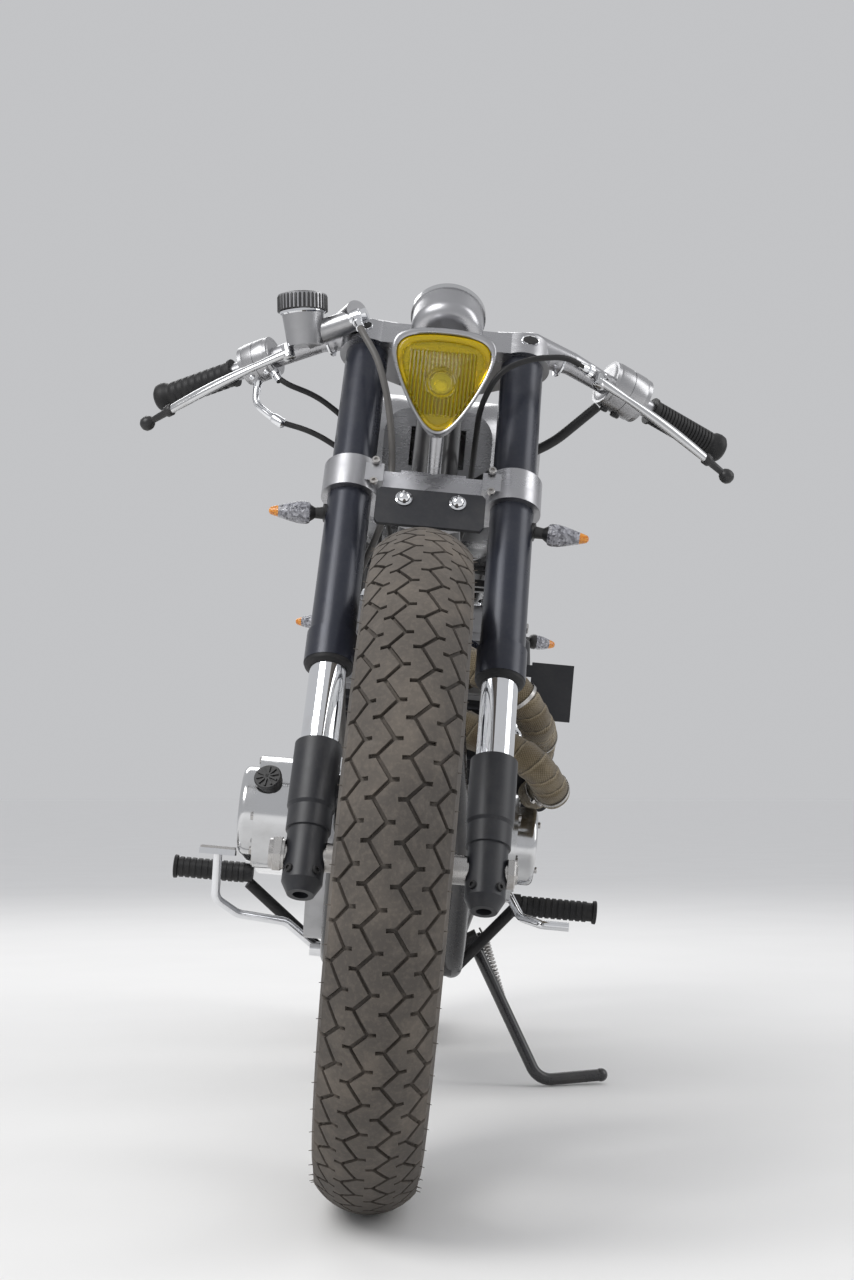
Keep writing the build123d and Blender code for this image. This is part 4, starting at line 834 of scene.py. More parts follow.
def headlamp():
    """The glass with its inner bead, the rim on its shell, and the silvered bowl with its bulb."""
    glass, rim, bowl = blanks(3)
    dome = [(-9.0, -0.4 - 6.5 * (1 - share ** 2), share) for share in (0.985, 0.8, 0.6, 0.4, 0.2, 0.06)]
    for bm, looped, rings in (
            (glass, False, [(-6.8, 6.0), (-6.8, 1.5), (-7.5, 0.2)] + dome),
            (glass, True, [(-12.6, -1.2), (-13.2, -3.3), (-14.4, -3.3), (-15.0, -1.2)]),
            (rim, True, [(0, 14), (0.6, 2), (0.2, -1.2), (-1.6, -2.8), (-4.5, -2.6), (-6.3, -1.4),
                         (-6.6, 1.0), (-6.6, 8), (-5.0, 14)]),
            (rim, False, [(-1.2, 14.0), (-2.4, 22), (-6.0, 42), (-11, 58), (-17, 66), (-17, 66.2, 0.5)])):
        loft(bm, [lamp_ring(*ring) for ring in rings], looped=looped)
    rows = loft(bowl, [lamp_ring(-8, depth, share) for depth, share in (
        (7.0, 1.0), (7.0, 0.9), (20.0, 0.72), (30.0, 0.5), (36.0, 0.3), (38.0, 0.2))], closed_ends=False)
    bowl.faces.new(rows[-1])
    lathe(bowl, axis((0, LAMP_FRONT + 38, LAMP_BOSS_Z), FORWARD),
          [(0, 9), (10, 9), (11, 12), (19, 12.5), (23, 10), (25, 5)], 24)
    fit("headlamp_glass", glass, "steering", "yellow", "headlamp_lens", smooth=50)
    fit("headlamp_rim_and_shell", rim, "steering", "brushed", "headlamp_shell", smooth=50)
    fit("headlamp_reflector", bowl, "steering", "mirror", smooth=50, outward=False)


# Heat-wrapped pipes

# Each pipe's corners, the radii of its bends, and how far along it the ties sit
PIPES = {
    "upper": ([(55, 565.7, 590), (55, 500, 590), (128, 478, 556), (160, 515, 516), (172, 640, 503),
               (180, 840, 482), (180, 900, 482)], [34, 34, 50, 200, 200], (10, 150, 300, 465)),
    "lower": ([(-55, 565.7, 590), (-55, 500, 590), (40, 492, 515), (160, 478, 466), (188, 520, 432),
               (188, 680, 444), (184, 840, 430), (184, 900, 430)], [34, 60, 40, 40, 300, 200],
              (10, 190, 360, 570)),
}
WRAP_PITCH, WRAP_RADIUS, WRAP_STEP = 21.0, 21.0, 2.6
WRAP_GIRTH = 0.132  # metres round the tape, a little over 2 pi WRAP_RADIUS


def wrap_reach(phase):
    """The radius of a spiral of overlapping tape with soft, uneven edges."""
    def reach(along, angle):
        turn = (along + WRAP_PITCH * angle / (2 * pi) + phase) / WRAP_PITCH
        edge = turn - int(turn)
        wave = noise.noise(Vector((along * 0.03, cos(angle) * 0.8, sin(angle) * 0.8 + phase)))
        return 19.4 + 3.6 * min(edge / 0.1, 1.0) * (1.0 - 0.5 * edge) + 1.4 * wave
    return reach


def wrapped_pipes():
    """Each pipe in its tape, and the steel ties with their clips."""
    ties = bmesh.new()
    for name, phase, nodes in (("upper", 0, ["exhaust_pipes"]), ("lower", WRAP_PITCH, [])):
        route, bends, spots = PIPES[name]
        path = bent_path(route, bends, WRAP_STEP)
        tape = bmesh.new()
        pipe(tape, path, wrap_reach(phase), 32, WRAP_RADIUS)
        fit("wrapped_pipe_" + name, tape, "frame", "wrap", *nodes, smooth=60)
        frames = carried_frames(path)
        for spot in spots:
            place = frames[min(int(spot / WRAP_STEP), len(frames) - 3)]
            lathe_ring(ties, place, [(-2.5, 22.6), (-2.5, 24.0), (2.5, 24.0), (2.5, 22.6)], 40)
            clip = place @ Matrix.Translation((24, 0, 0)) @ Matrix.Rotation(pi / 2, 4, "Y")
            lathe(ties, clip, [(-2, 3.6), (2.2, 3.6), (2.8, 2.8)], 8)
    fit("wrap_ties", ties, "frame", "steel")


# Grips and levers

def grips():
    """Ribbed rubbers with their end knobs: fine ribs on the left, coarse on the throttle's side."""
    for side, name, count, deep in ((1, "left", 18, 14.2), (-1, "right", 9, 14.9)):
        start, end = Vector((side * 244, 355, 909)), Vector((side * 338, 395, 875))
        way = (end - start).normalized()
        length = (end - start).length - 12
        pitch = (length - 12) / count
        profile = [(0, 11.2), (0, 17.2), (3, 17.2), (4, 15.4)]
        for i in range(count):
            low = 5 + i * pitch
            profile += [(low, 15.4), (low + pitch * 0.62, 15.4), (low + pitch * 0.7, deep),
                        (low + pitch * 0.93, deep)]
        profile += [(length - 5, 15.4), (length - 2, 17.6), (length + 4, 18.4), (length + 9, 17.6),
                    (length + 13, 13.5), (length + 14, 8)]
        bm = bmesh.new()
        lathe(bm, axis(start + way * 12, way), profile, 36)
        fit("grip_" + name, bm, "steering", "rubber", "handlebar_grips", smooth=40)


def levers():
    """Bowed blades on their pivots, with rubber-tipped balls."""
    blades, tips = blanks(2)
    for side in (1, -1):
        pivot, ball = Vector((side * 182, 270, 918)), Vector((side * 350, 330, 828))
        way, bow = ball - pivot, Vector((0, -5, 3))
        path = [pivot + way * t + bow * sin(pi * t) for t in [i / 24 * 0.83 for i in range(25)]]

        def reach(along, angle, length=way.length):
            t = along / length
            return 7.6 - 2.2 * min(t / 0.2, 1) + 2.0 * max(0, sin(pi * (t - 0.2) / 0.75)) if t > 0.02 else 7.0
        pipe(blades, path, reach, 20, squash=0.72)
        span = (ball - path[-1]).length + 2
        lathe(tips, axis(path[-1] - way.normalized() * 2, ball - path[-1]),
              [(0, 6.4), (1, 7.2), (8, 6.8), (10, 4.6), (span - 9, 4.0), (span - 7.5, 6.2), (span - 4, 8.4),
               (span, 9.0), (span + 4, 8.2), (span + 7, 5.4), (span + 8.8, 1)], 24)
        lathe(blades, axis(pivot + Vector((0, 0, -9)), (side * 0.25, 0.35, 1)),
              [(0, 6), (1, 7.5), (17, 7.5), (18, 6)], 20)
    fit("lever_blades", blades, "steering", "polished", "brake_and_clutch_levers", slot="alu", smooth=50)
    fit("lever_tips", tips, "steering", "plastic", slot="rubber", smooth=50)


# Seat

# Where along the machine, the seat's top there and half its width
SEAT_STATIONS = [(868, 828, 92), (900, 842, 104), (960, 838, 109), (1100, 834, 111), (1240, 838, 112),
                 (1290, 858, 110), (1340, 888, 106), (1400, 892, 100), (1450, 884, 88), (1482, 862, 72),
                 (1492, 836, 60)]
SEAT_BASE, SEAT_EDGE, SEAM_PITCH = 772.6, 26.0, 26.2


def seat_section(y, top, half):
    """The seat's outline at one place, sunk at a sewn channel and pulled in at its base."""
    lift = 0.0
    if 895 < y < 1262:
        seam = abs(((y - 895) / SEAM_PITCH) % 1 - 0.5) * 2
        lift = -5.5 * max(0, (seam - 0.72) / 0.28) ** 1.5
    ring = []
    for angle in turns(40):
        across, up = cos(angle), sin(angle)
        x = half * (abs(across) ** 0.42) * (1 if across >= 0 else -1)
        if up >= 0:
            inner = max(0.0, 1 - (abs(x) / half) ** 3)
            z = SEAT_BASE + SEAT_EDGE + (top - SEAT_BASE - SEAT_EDGE) * (up ** 0.45) + lift * inner
        else:
            z = SEAT_BASE + SEAT_EDGE - 25.6 * (abs(up) ** 0.3)
            x *= 1 - 0.035 * abs(up)
        ring.append(Vector((x, y, z)))
    return ring


def seat():
    """A crowned leather pad with sewn cross channels and a hump behind."""
    dense = []
    for (y0, top0, half0), (y1, top1, half1) in zip(SEAT_STATIONS, SEAT_STATIONS[1:]):
        pieces = max(2, round((y1 - y0) / 7))
        for i in range(pieces):
            t = i / pieces
            ease = t * t * (3 - 2 * t)
            dense.append((y0 + (y1 - y0) * t, top0 + (top1 - top0) * ease, half0 + (half1 - half0) * ease))
    bm = bmesh.new()
    loft(bm, [seat_section(*station) for station in dense + SEAT_STATIONS[-1:]])
    piece = make_object("seat_pad", bm, smooth=70)
    cover = piece.modifiers.new("Soft", "SUBSURF")
    cover.levels = cover.render_levels = 1
    dress(piece, "frame", "leather", "seat")


# Fork, brake and control fittings

def fork_spot(x, back, along):
    """A point given along the fork's legs, and behind their plane."""
    return FORK @ Vector((x, back, along))


def fork_fittings():
    """The crown's caps, nuts and screws, the shield plate with its bolts, and the sleeves' seals."""
    bright, screws, seals, plate = blanks(4)
    for side in (-1, 1):
        lathe(bright, axis(fork_spot(side * 30, -41.5, 424), FORK_FORWARD),
              [(0, 9.5), (1.3, 9.5), (1.7, 7.6), (4.6, 7.3), (7, 5.6), (8.5, 2.8), (8.9, 0.4)], 28)
        crown = axis(fork_spot(side * LEG_X, 0, CROWN_TOP), FORK_UP)
        lathe(bright, crown, [(0, 23), (2.5, 23), (4, 21.5), (4, 13)], 36)
        hexagon(bright, crown, 12, 4, 12)
        lathe_ring(seals, axis(fork_spot(side * LEG_X, 0, 226), -FORK_UP),
                   [(0, 20.3), (0, 27), (3.5, 26), (6.5, 21.6), (6.5, 20.3)], 40)
        for turn in (radians(-40), radians(40)):
            out = FORK_FORWARD * cos(turn) + Vector((sin(turn), 0, 0))
            socket_screw(seals, axis(fork_spot(side * LEG_X, 0, -22) + out * 20.4, out), 4.6, 3.2)
        for along in (451, 480):
            socket_screw(screws, axis(fork_spot(side * 66, -31, along), FORK_FORWARD), 4.5, 4)
    outline = [(-61, 396), (-57, 390), (57, 390), (61, 396), (61, 433), (57, 438), (-57, 438), (-61, 433)]
    loft(plate, [[fork_spot(x, back, along) for x, along in outline] for back in (-36, -41)])
    stem = axis(fork_spot(0, 42, CROWN_TOP), FORK_UP)
    lathe(bright, stem, [(0, 26), (2.5, 26), (3.5, 24.5)], 36)
    hexagon(bright, stem, 19, 3, 14)
    for x in (-44, 44):
        socket_screw(screws, axis(fork_spot(x, 14, CROWN_TOP), FORK_UP), 7, 8)
    hex_collar(screws, axis((-116.5, 0, FRONT_RADIUS), RIGHT), 15.1, 19.5, 9)
    hex_collar(screws, axis((113.6, 0, FRONT_RADIUS), LEFT), 10.1, 17, 8)
    fit("yoke_shield_plate", plate, "steering", "sleeve", "yoke_shield")
    fit("fork_chrome_fittings", bright, "steering", "chrome")
    fit("fork_screws", screws, "steering", "steel")
    fit("fork_seals", seals, "steering", "rubber")


def brake_fittings():
    """Banjo bolts and crimped ends of the hose, the reservoir's cap and the caliper's bolts."""
    bright, dark, screws = blanks(3)
    eye = axis((-107, 262, 963), (55, -14, 22))
    lathe(bright, eye, [(-8, 8.5), (-6, 8.5), (-6, 10.5), (5, 10.5), (5, 8.5), (7, 8.5)], 28)
    hexagon(bright, eye, 8.6, 7, 14)
    for start, following in ((Vector((-107, 256, 960)), Vector((-98, 232, 941))),
                             (fork_spot(-62, 52, 117), fork_spot(-72, 48, 172))):
        lathe(bright, axis(start, following - start),
              [(-3, 5), (3, 5), (3.5, 6.2), (9, 6.2), (9.5, 5.4), (24, 5.4), (24.6, 4.6)], 20)
    lower = axis(fork_spot(-66, 52, 113), RIGHT)
    lathe(bright, lower, [(-7, 9), (5, 9)], 24)
    hexagon(bright, lower, 8, 5, 12)
    cap = axis((-172, 272, 968), (-2, -1, 18))
    fluted(dark, cap, [(-1, 29.8), (15.5, 29.8), (18.2, 28.6)], 36, 1.0)
    lathe(dark, cap, [(17, 26), (18.6, 26), (20, 24), (20.4, 10), (20.5, 1)], 40)
    lathe(bright, axis((-165, 276, 928), (-7, -4, 40)), [(36.5, 25.6), (38, 27.2), (40.8, 27.2)], 40)
    for along in (82, 96):
        hexagon(screws, axis(fork_spot(-84, 28, along), RIGHT), 6.5, 0, 6)
    lathe(dark, axis(fork_spot(-66, 62, 87), RIGHT), [(0, 25), (3.5, 25), (5, 22), (5, 17), (4, 16)], 36)
    fit("brake_bright_fittings", bright, "steering", "chrome")
    fit("brake_dark_fittings", dark, "steering", "plastic")
    fit("brake_bolts", screws, "steering", "steel")


def housings(shells, screws):
    """Rounded housings on the bars, each with its joint line and two screws."""
    for start, end, radius in (((-206, 338, 926), (-240, 353, 913), 24.8),
                               ((196, 334, 930), (240, 353, 914), 28.8)):
        way = Vector(end) - Vector(start)
        length, middle = way.length, way.length / 2
        place = axis(Vector(start) - way.normalized() * 0.6, way)
        lathe(shells, place,
              [(0, radius * 0.62), (0.4, radius * 0.85), (3, radius * 0.95), (8, radius),
               (middle - 0.7, radius), (middle - 0.5, radius - 1.1), (middle + 0.5, radius - 1.1),
               (middle + 0.7, radius), (length - 7, radius), (length - 2, radius * 0.94),
               (length + 0.8, radius * 0.82), (length + 1.2, radius * 0.6)], 48)
        for along in (middle - 9.9, middle + 9.9):
            spot = place @ Vector((radius * 0.55, -radius * 0.82, along))
            socket_screw(screws, axis(spot, spot - place @ Vector((0, 0, along))), 3.2, 2.4)


def control_fittings():
    """The housings, switches and recesses on the bars, the cables' ends, elbow and adjuster."""
    shells, dark, bright = blanks(3)
    housings(shells, bright)
    keys = axis((218, 343, 922), (44, 19, -16))
    for along, wide in ((-12, 5), (4, 6)):
        spot = keys @ Vector((6, -27.5, along))
        place = axis(spot, spot - keys @ Vector((0, 0, along)))
        lathe(dark, place, [(0, wide), (3, wide), (4.2, wide - 1.2)], 20)
    for side in (-1, 1):
        recess = axis((side * 99, 278.0, 959.0), (side * 0.12, -0.875, 0.45))
        recess @= Matrix.Diagonal((1, 0.62, 1, 1))
        lathe(dark, recess, [(-1, 9.6), (0.5, 9.6), (0.9, 8.8), (0.9, 1)])
        lathe_ring(bright, recess, [(-1, 9.4), (0.9, 9.4), (1.5, 10.2), (0.9, 11), (-1, 11)], 32)
        sleeve = axis((side * 137, 302, 938), (side * 52, 20, -16))
        lathe_ring(bright, sleeve, [(-1, 10), (-1, 14.6), (1, 14.6), (1, 10)], 32)
    for start, end in (((-224, 346, 903), (-224, 346, 880)), ((-204, 333, 905), (-198, 329.5, 897))):
        way = Vector(end) - Vector(start)
        length = way.length
        lathe(bright, axis(start, way),
              [(0, 6.4), (length * 0.5, 6.2), (length * 0.6, 5), (length + 4, 4.6)], 20)
    clutch = axis((176, 271.5, 925.2), (-28, -20, 9))
    fluted(bright, clutch, [(4, 7.6), (10, 7.6)], 14, 0.9)
    lathe(bright, clutch, [(9, 5), (18, 5), (18.5, 4.2), (24, 4.2)], 18)
    elbow = [point for point in cord_path(PULL_CABLE, 4.0) if point.x < -196]
    pipe(bright, elbow, 4.6, 16)
    lathe(bright, axis(elbow[-1], elbow[-1] - elbow[-2]), [(-2, 5.4), (0, 6.2), (13, 6.2), (15, 4.4)], 20)
    fit("control_housing_shells", shells, "steering", "cast", smooth=50)
    fit("control_switches", dark, "steering", "plastic")
    fit("control_bright_fittings", bright, "steering", "chrome")


def instrument_face():
    """A plain dial with ticks and a needle, under a polished bezel."""
    bezel, dial, marks = blanks(3)
    way = Vector((0, sin(radians(42)), cos(radians(42))))
    place = axis(Vector((0, 222, 952)) + way * 23, way)
    lathe_ring(bezel, place, [(-5, 41.6), (-5, 43.4), (2.5, 43.4), (4, 41.8), (4, 37.5), (0.2, 37.5)], 64)
    lathe(dial, place, [(0, 37.6), (0.6, 37.6)], 64)
    lathe(dial, place, [(0.6, 5), (3.4, 4.6), (3.8, 2)], 24)
    for i in range(31):
        low = 27 if i % 5 == 0 else 31
        prism(marks, place @ Matrix.Rotation(radians(9 * i - 135), 4, "Z"),
              ((-0.5, low), (0.5, low), (0.5, 35), (-0.5, 35)), 0.6, 1.0)
    prism(marks, place @ Matrix.Rotation(radians(135), 4, "Z"),
          ((-1.3, -8), (1.3, -8), (0.4, 30), (-0.4, 30)), 2.2, 2.8)
    fit("dial_bezel", bezel, "steering", "polished")
    fit("dial_face", dial, "steering", "plastic")
    fit("dial_marks", marks, "steering", "marks")


def front_indicators():
    """A black stalk, a faceted clear lens and its amber tip on each fork tube."""
    stalks, lenses, tips = blanks(3)
    for side in (-1, 1):
        base = fork_spot(side * 114.5, 0, 424)
        lathe(stalks, axis(base, (side * 21, -4, -2)),
              [(0, 10.5), (5, 10.5), (6, 7), (15, 6.2), (19, 8.8), (22, 10.4)], 24)
        place = axis(base + Vector((side * 20, -4, -2)), (side * 46, -4, -2))
        lathe(lenses, place, [(0, 10.4), (1, 12), (4, 13), (12, 12.8), (22, 10.6), (31, 8.2), (36, 6.8)], 12)
        lathe(tips, place, [(36, 6.7), (41, 5.4), (44.5, 4.2), (46.2, 2)], 12)
    fit("indicator_stalks", stalks, "steering", "plastic", "front_indicators")
    fit("indicator_lenses", lenses, "steering", "clear", smooth=12)
    fit("indicator_tips", tips, "steering", "amber", smooth=12)


# Cables from the bars to the engine

CLUTCH_CABLE = [(169, 265.3, 927.3), (142, 246, 936), (100, 226, 926), (64, 212, 905), (46, 232, 866),
                (44, 300, 812), (44, 372, 756), (34, 450, 722), (20, 585, 708), (12, 705, 708),
                (12, 797, 684), (12, 800, 560), (12, 800, 436.3)]
PULL_CABLE = [(-224, 346, 889), (-224, 342, 866), (-196, 334, 846), (-150, 328, 836), (-104, 328, 812),
              (-62, 350, 778), (-48, 420, 728), (-46, 585, 708), (-46, 715, 708), (-46, 813.3, 682),
              (-46, 813.3, 634)]
PUSH_CABLE = [(-202.8, 330.2, 900.5), (-186, 326, 890), (-150, 330, 880), (-112, 334, 856), (-72, 344, 806),
              (-62, 400, 746), (-66, 585, 708), (-66, 715, 708), (-66, 813.3, 682), (-66, 813.3, 634)]
HARNESS = [(188.4, 341.9, 900.4), (168, 340, 880), (140, 338, 852), (96, 336, 826), (62, 342, 802),
           (36, 358, 786), (8, 370, 784), (8, 370, 819.4)]


def cables():
    """Each cable as a tube along its bent path, from the steering to the frame."""
    for name, points, radius, start, end, nodes in (
            ("clutch_cable", CLUTCH_CABLE, 3.5, (44, 300, 812), (34, 450, 722), ["control_cables"]),
            ("throttle_cable_pull", PULL_CABLE, 3.5, (-104, 328, 812), (-48, 440, 728), []),
            ("throttle_cable_push", PUSH_CABLE, 3.5, (-100, 334, 840), (-62, 440, 740), []),
            ("switch_harness", HARNESS, 6.0, (96, 336, 826), (8, 366, 790), [])):
        bm = bmesh.new()
        pipe(bm, cord_path(points, 5.0), radius, 12)
        cable = stretch(name, bm, ("steering", "frame"), start, end, "rubber", smooth=60)
        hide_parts(*nodes)


# Wheels

def spoke_ends(bead, hook, flange_x, number):
    """The hub and rim ends of one spoke about its axle."""
    side = 1 if number % 2 else -1
    back = 1 if (number // 2) % 2 else -1
    rim, hub = radians(10 * number), radians(10 * number + 64 * back)
    return (Vector((side * flange_x, hook * cos(hub), hook * sin(hub))),
            Vector((side * 5, (bead - 14) * cos(rim), (bead - 14) * sin(rim))))


def wheel_fittings():
    """Spoke nipples and heads, a valve in each rim, the disc's bolts and the rear axle's nuts."""
    for end, axle, bead, hook, flange_x in (("front", FRONT_AXLE, FRONT_BEAD, 36, 32),
                                            ("rear", REAR_AXLE, REAR_BEAD, 80, 34)):
        nipples, valve = blanks(2)
        for number in range(4):
            head, foot = spoke_ends(bead, hook, flange_x, number)
            lathe(nipples, axis(foot, head - foot), [(1, 3.4), (10, 3.1), (12, 2.4), (14.5, 2.0)], 8)
            lathe(nipples, axis(head, (head.x, 0, 0)), [(1, 2.2), (2.6, 3.4), (4.2, 3.2), (5, 1.6)], 8)
        repeated(end + "_spoke_nipples", nipples, 9, end + "_wheel", "chrome", place=HOME @ axle)
        inward = Vector((0, cos(0.4), -sin(0.4)))
        lathe(valve, axle @ axis(inward * (15 - bead), inward),
              [(0, 6), (2.5, 6), (3, 3.6), (20, 3.2), (21, 4), (30, 3.8), (31, 2)], 16)
        fit(end + "_valve", valve, end + "_wheel", "steel")
    bolts, nuts = blanks(2)
    for reach, radius in ((33, 5.2), (83.5, 6.5)):
        screw_circle(bolts, (-51.4, 0, FRONT_RADIUS), RIGHT, (reach, reach), range(30, 390, 60), radius, 4.2)
    for side in (-1, 1):
        hex_collar(nuts, REAR_AXLE @ axis((side * 130, 0, 0), (side, 0, 0)), 15.05, 18.5, 9)
    fit("disc_bolts", bolts, "front_wheel", "steel")
    fit("rear_axle_nuts", nuts, "frame", "steel")


# Chain and shock absorbers

CHAIN_X, CHAIN_PITCH, CHAIN_LINKS = 75.0, 15.875, 48
DRIVE_Y, DRIVE_Z, DRIVE_REACH, DRIVEN_REACH = 850.0, 330.0, 44.5, 95.5
SHOCK_X, SHOCK_TOP, SHOCK_FOOT = 150, (1215, 700), (1330, 345)


def link_plate(bm, x, middle, radius):
    """One link's waisted plate, 1.2 mm thick from x, along Z."""
    outline = []
    for end, start in ((1, 0), (-1, pi)):
        for i in range(7):
            angle = radians(20 * i - 60) + start
            outline.append((radius * sin(angle), middle + end * CHAIN_PITCH / 2 + radius * cos(angle)))
        outline.append((0.66 * radius * end, middle))
    loft(bm, [[Vector((side, y, z)) for y, z in outline] for side in (x, x + 1.2)])


def chain_route():
    """The chain's line round both sprockets, as a closed curve."""
    turn = pi / 2 + asin((DRIVEN_REACH - DRIVE_REACH) / (WHEELBASE - DRIVE_Y))
    curve = bpy.data.curves.new("chain_route", "CURVE")
    curve.dimensions = "3D"
    spline = curve.splines.new("POLY")
    spline.points.add(81)
    for k, (y, z, radius, first, last) in enumerate(((DRIVE_Y, DRIVE_Z, DRIVE_REACH, turn, 2 * pi - turn),
                                                     (WHEELBASE, REAR_RADIUS, DRIVEN_REACH, -turn, turn))):
        for i in range(41):
            angle = first + (last - first) * i / 40
            spline.points[41 * k + i].co = (CHAIN_X, y + radius * cos(angle), z + radius * sin(angle), 1.0)
    spline.use_cyclic_u = True
    return linked("chain_route", curve)


def chain():
    """Roller chain along its route, and the teeth of both sprockets."""
    links = bmesh.new()
    for inner, outer in ((-5.6, -7.0), (4.4, 5.8)):
        link_plate(links, inner, 0.0, 6.3)
        link_plate(links, outer, CHAIN_PITCH, 6.1)
    for along in (-CHAIN_PITCH / 2, CHAIN_PITCH / 2):
        lathe(links, axis((-4.3, 0, along), LEFT), [(0, 5), (8.6, 5)], 10)
        lathe(links, axis((-7.6, 0, along), LEFT), [(0, 2), (0.6, 2.6), (14.6, 2.6), (15.2, 2)], 8)
    bmesh.ops.recalc_face_normals(links, faces=links.faces)
    route = chain_route()
    repeated("roller_chain", links, CHAIN_LINKS, "frame", "chain", "drive_chain", route=route)
    bpy.data.objects.remove(route)
    drive = Matrix.Translation((0, DRIVE_Y, DRIVE_Z))
    for name, body, axle, count, root, tip in (("rear_teeth", "rear_wheel", REAR_AXLE, 38, 82, 97),
                                               ("front_teeth", "frame", drive, 18, 36, 46.5)):
        tooth, half = bmesh.new(), pi * root / count
        flank = root + (tip - root) * 0.45
        levels = ((root, half * 0.98, 3), (flank, half * 0.5, 3), (tip, half * 0.22, 1.6))
        corners = ((-1, -1), (1, -1), (1, 1), (-1, 1))
        loft(tooth, [[Vector((CHAIN_X + x * wide, y * reach, r)) for x, y in corners]
                     for r, reach, wide in levels])
        repeated(name, tooth, count, body, "steel", place=HOME @ axle)


def shocks():
    """Chrome springs on black dampers, hung from steel eyes."""
    springs, bodies, eyes = blanks(3)
    for side in (-1, 1):
        top, foot = Vector((side * SHOCK_X, *SHOCK_TOP)), Vector((side * SHOCK_X, *SHOCK_FOOT))
        place, length = axis(foot, top - foot), (top - foot).length
        coil(springs, place @ Vector((0, 0, 68)), place @ Vector((0, 0, length - 66)), 24.6, 4.3, 10, 10, 22)
        lathe(bodies, place,
              [(10, 11), (20, 14), (24, 19), (56, 19), (57, 28.5), (66, 28.5), (67.5, 20), (150, 19.5),
               (152, 8), (length - 66, 8), (length - 65, 28.8), (length - 58, 29), (length - 22, 25),
               (length - 14, 12)], 36)
        for i in range(5):
            lathe_ring(bodies, place, [(58 + 1.7 * i, 28), (58.4 + 1.7 * i, 29.2), (59 + 1.7 * i, 28)], 36)
        for end in (top, foot):
            hinge = axis(end - Vector((14, 0, 0)), LEFT)
            lathe_ring(eyes, hinge, [(0, 10), (0, 14.6), (1, 15.4), (27, 15.4), (28, 14.6), (28, 10)], 32)
            lathe_ring(bodies, hinge, [(-1, 7.2), (-1, 10.2), (29, 10.2), (29, 7.2)], 24)
            hexagon(eyes, axis(end + Vector((side * 14.6, 0, 0)), (side, 0, 0)), 9.5, 0, 5.2)
    fit("shock_springs", springs, "frame", "chrome", "rear_shock_absorbers")
    fit("shock_bodies", bodies, "frame", "sleeve")
    fit("shock_eyes", eyes, "frame", "steel")


# Engine, pegs and tail

HEAD_TOP, PORT_X, PORT_Z = 671.5, 55, 590


def intakes_and_ports(screws, bright, dark):
    """Exhaust collars, and the carburettors' caps, mouths and screws, on both cylinders."""
    for x in (-PORT_X, PORT_X):
        lathe(bright, axis((x, 672, HEAD_TOP), UP),
              [(0, 27), (3, 27), (5, 25), (5, 21), (6.5, 20), (7, 2)], 36)
        lathe_ring(bright, axis((x, 578, PORT_Z), FORWARD),
                   [(0, 26.2), (0, 35), (2.5, 35), (2.5, 29), (5.5, 29), (5.5, 35), (8, 35), (8, 29),
                    (11, 29), (11, 33), (13, 33), (13, 24)], 48)
        fluted(dark, axis((x, 813.3, 633.5), UP), [(-10, 25.2), (-1, 25.2), (0, 24)], 30, 1.0)
        mouth = axis((x, 826, PORT_Z), BACK)
        fluted(dark, mouth, [(2, 24.5), (30, 29)], 32, 2.2)
        lathe(bright, mouth, [(29, 29.6), (33.5, 29.6), (35.5, 27), (36, 3)], 36)
        lathe(bright, mouth, [(-4, 23), (2, 26), (4, 26)], 36)
        for dx in (-17, 17):
            for y in (792, 830):
                socket_screw(screws, axis((x + dx, y, 531.8), DOWN), 3.2, 3)
    lathe(bright, axis((-40, 813, 606), LEFT), [(0, 4), (80, 4)], 12)


def spark_plugs(screws, dark):
    """A plug, its cap and its lead to the backbone on each cylinder."""
    for side in (-1, 1):
        foot, out = Vector((side * 108, 672, 634)), Vector((side * 0.5, 0, 0.87))
        plug = axis(foot, out)
        hexagon(screws, plug, 10.5, 0, 9)
        lathe(dark, plug, [(8, 8), (10, 9.5), (20, 9.5), (22, 8.2), (40, 7.6), (43, 5)], 20)
        lead = [foot + out.normalized() * 40, (side * 137, 678, 700), (side * 108, 702, 727),
                (side * 60, 730, 731), (side * 26, 760, 752)]
        pipe(dark, cord_path(lead, 6.0), 3.6, 10)


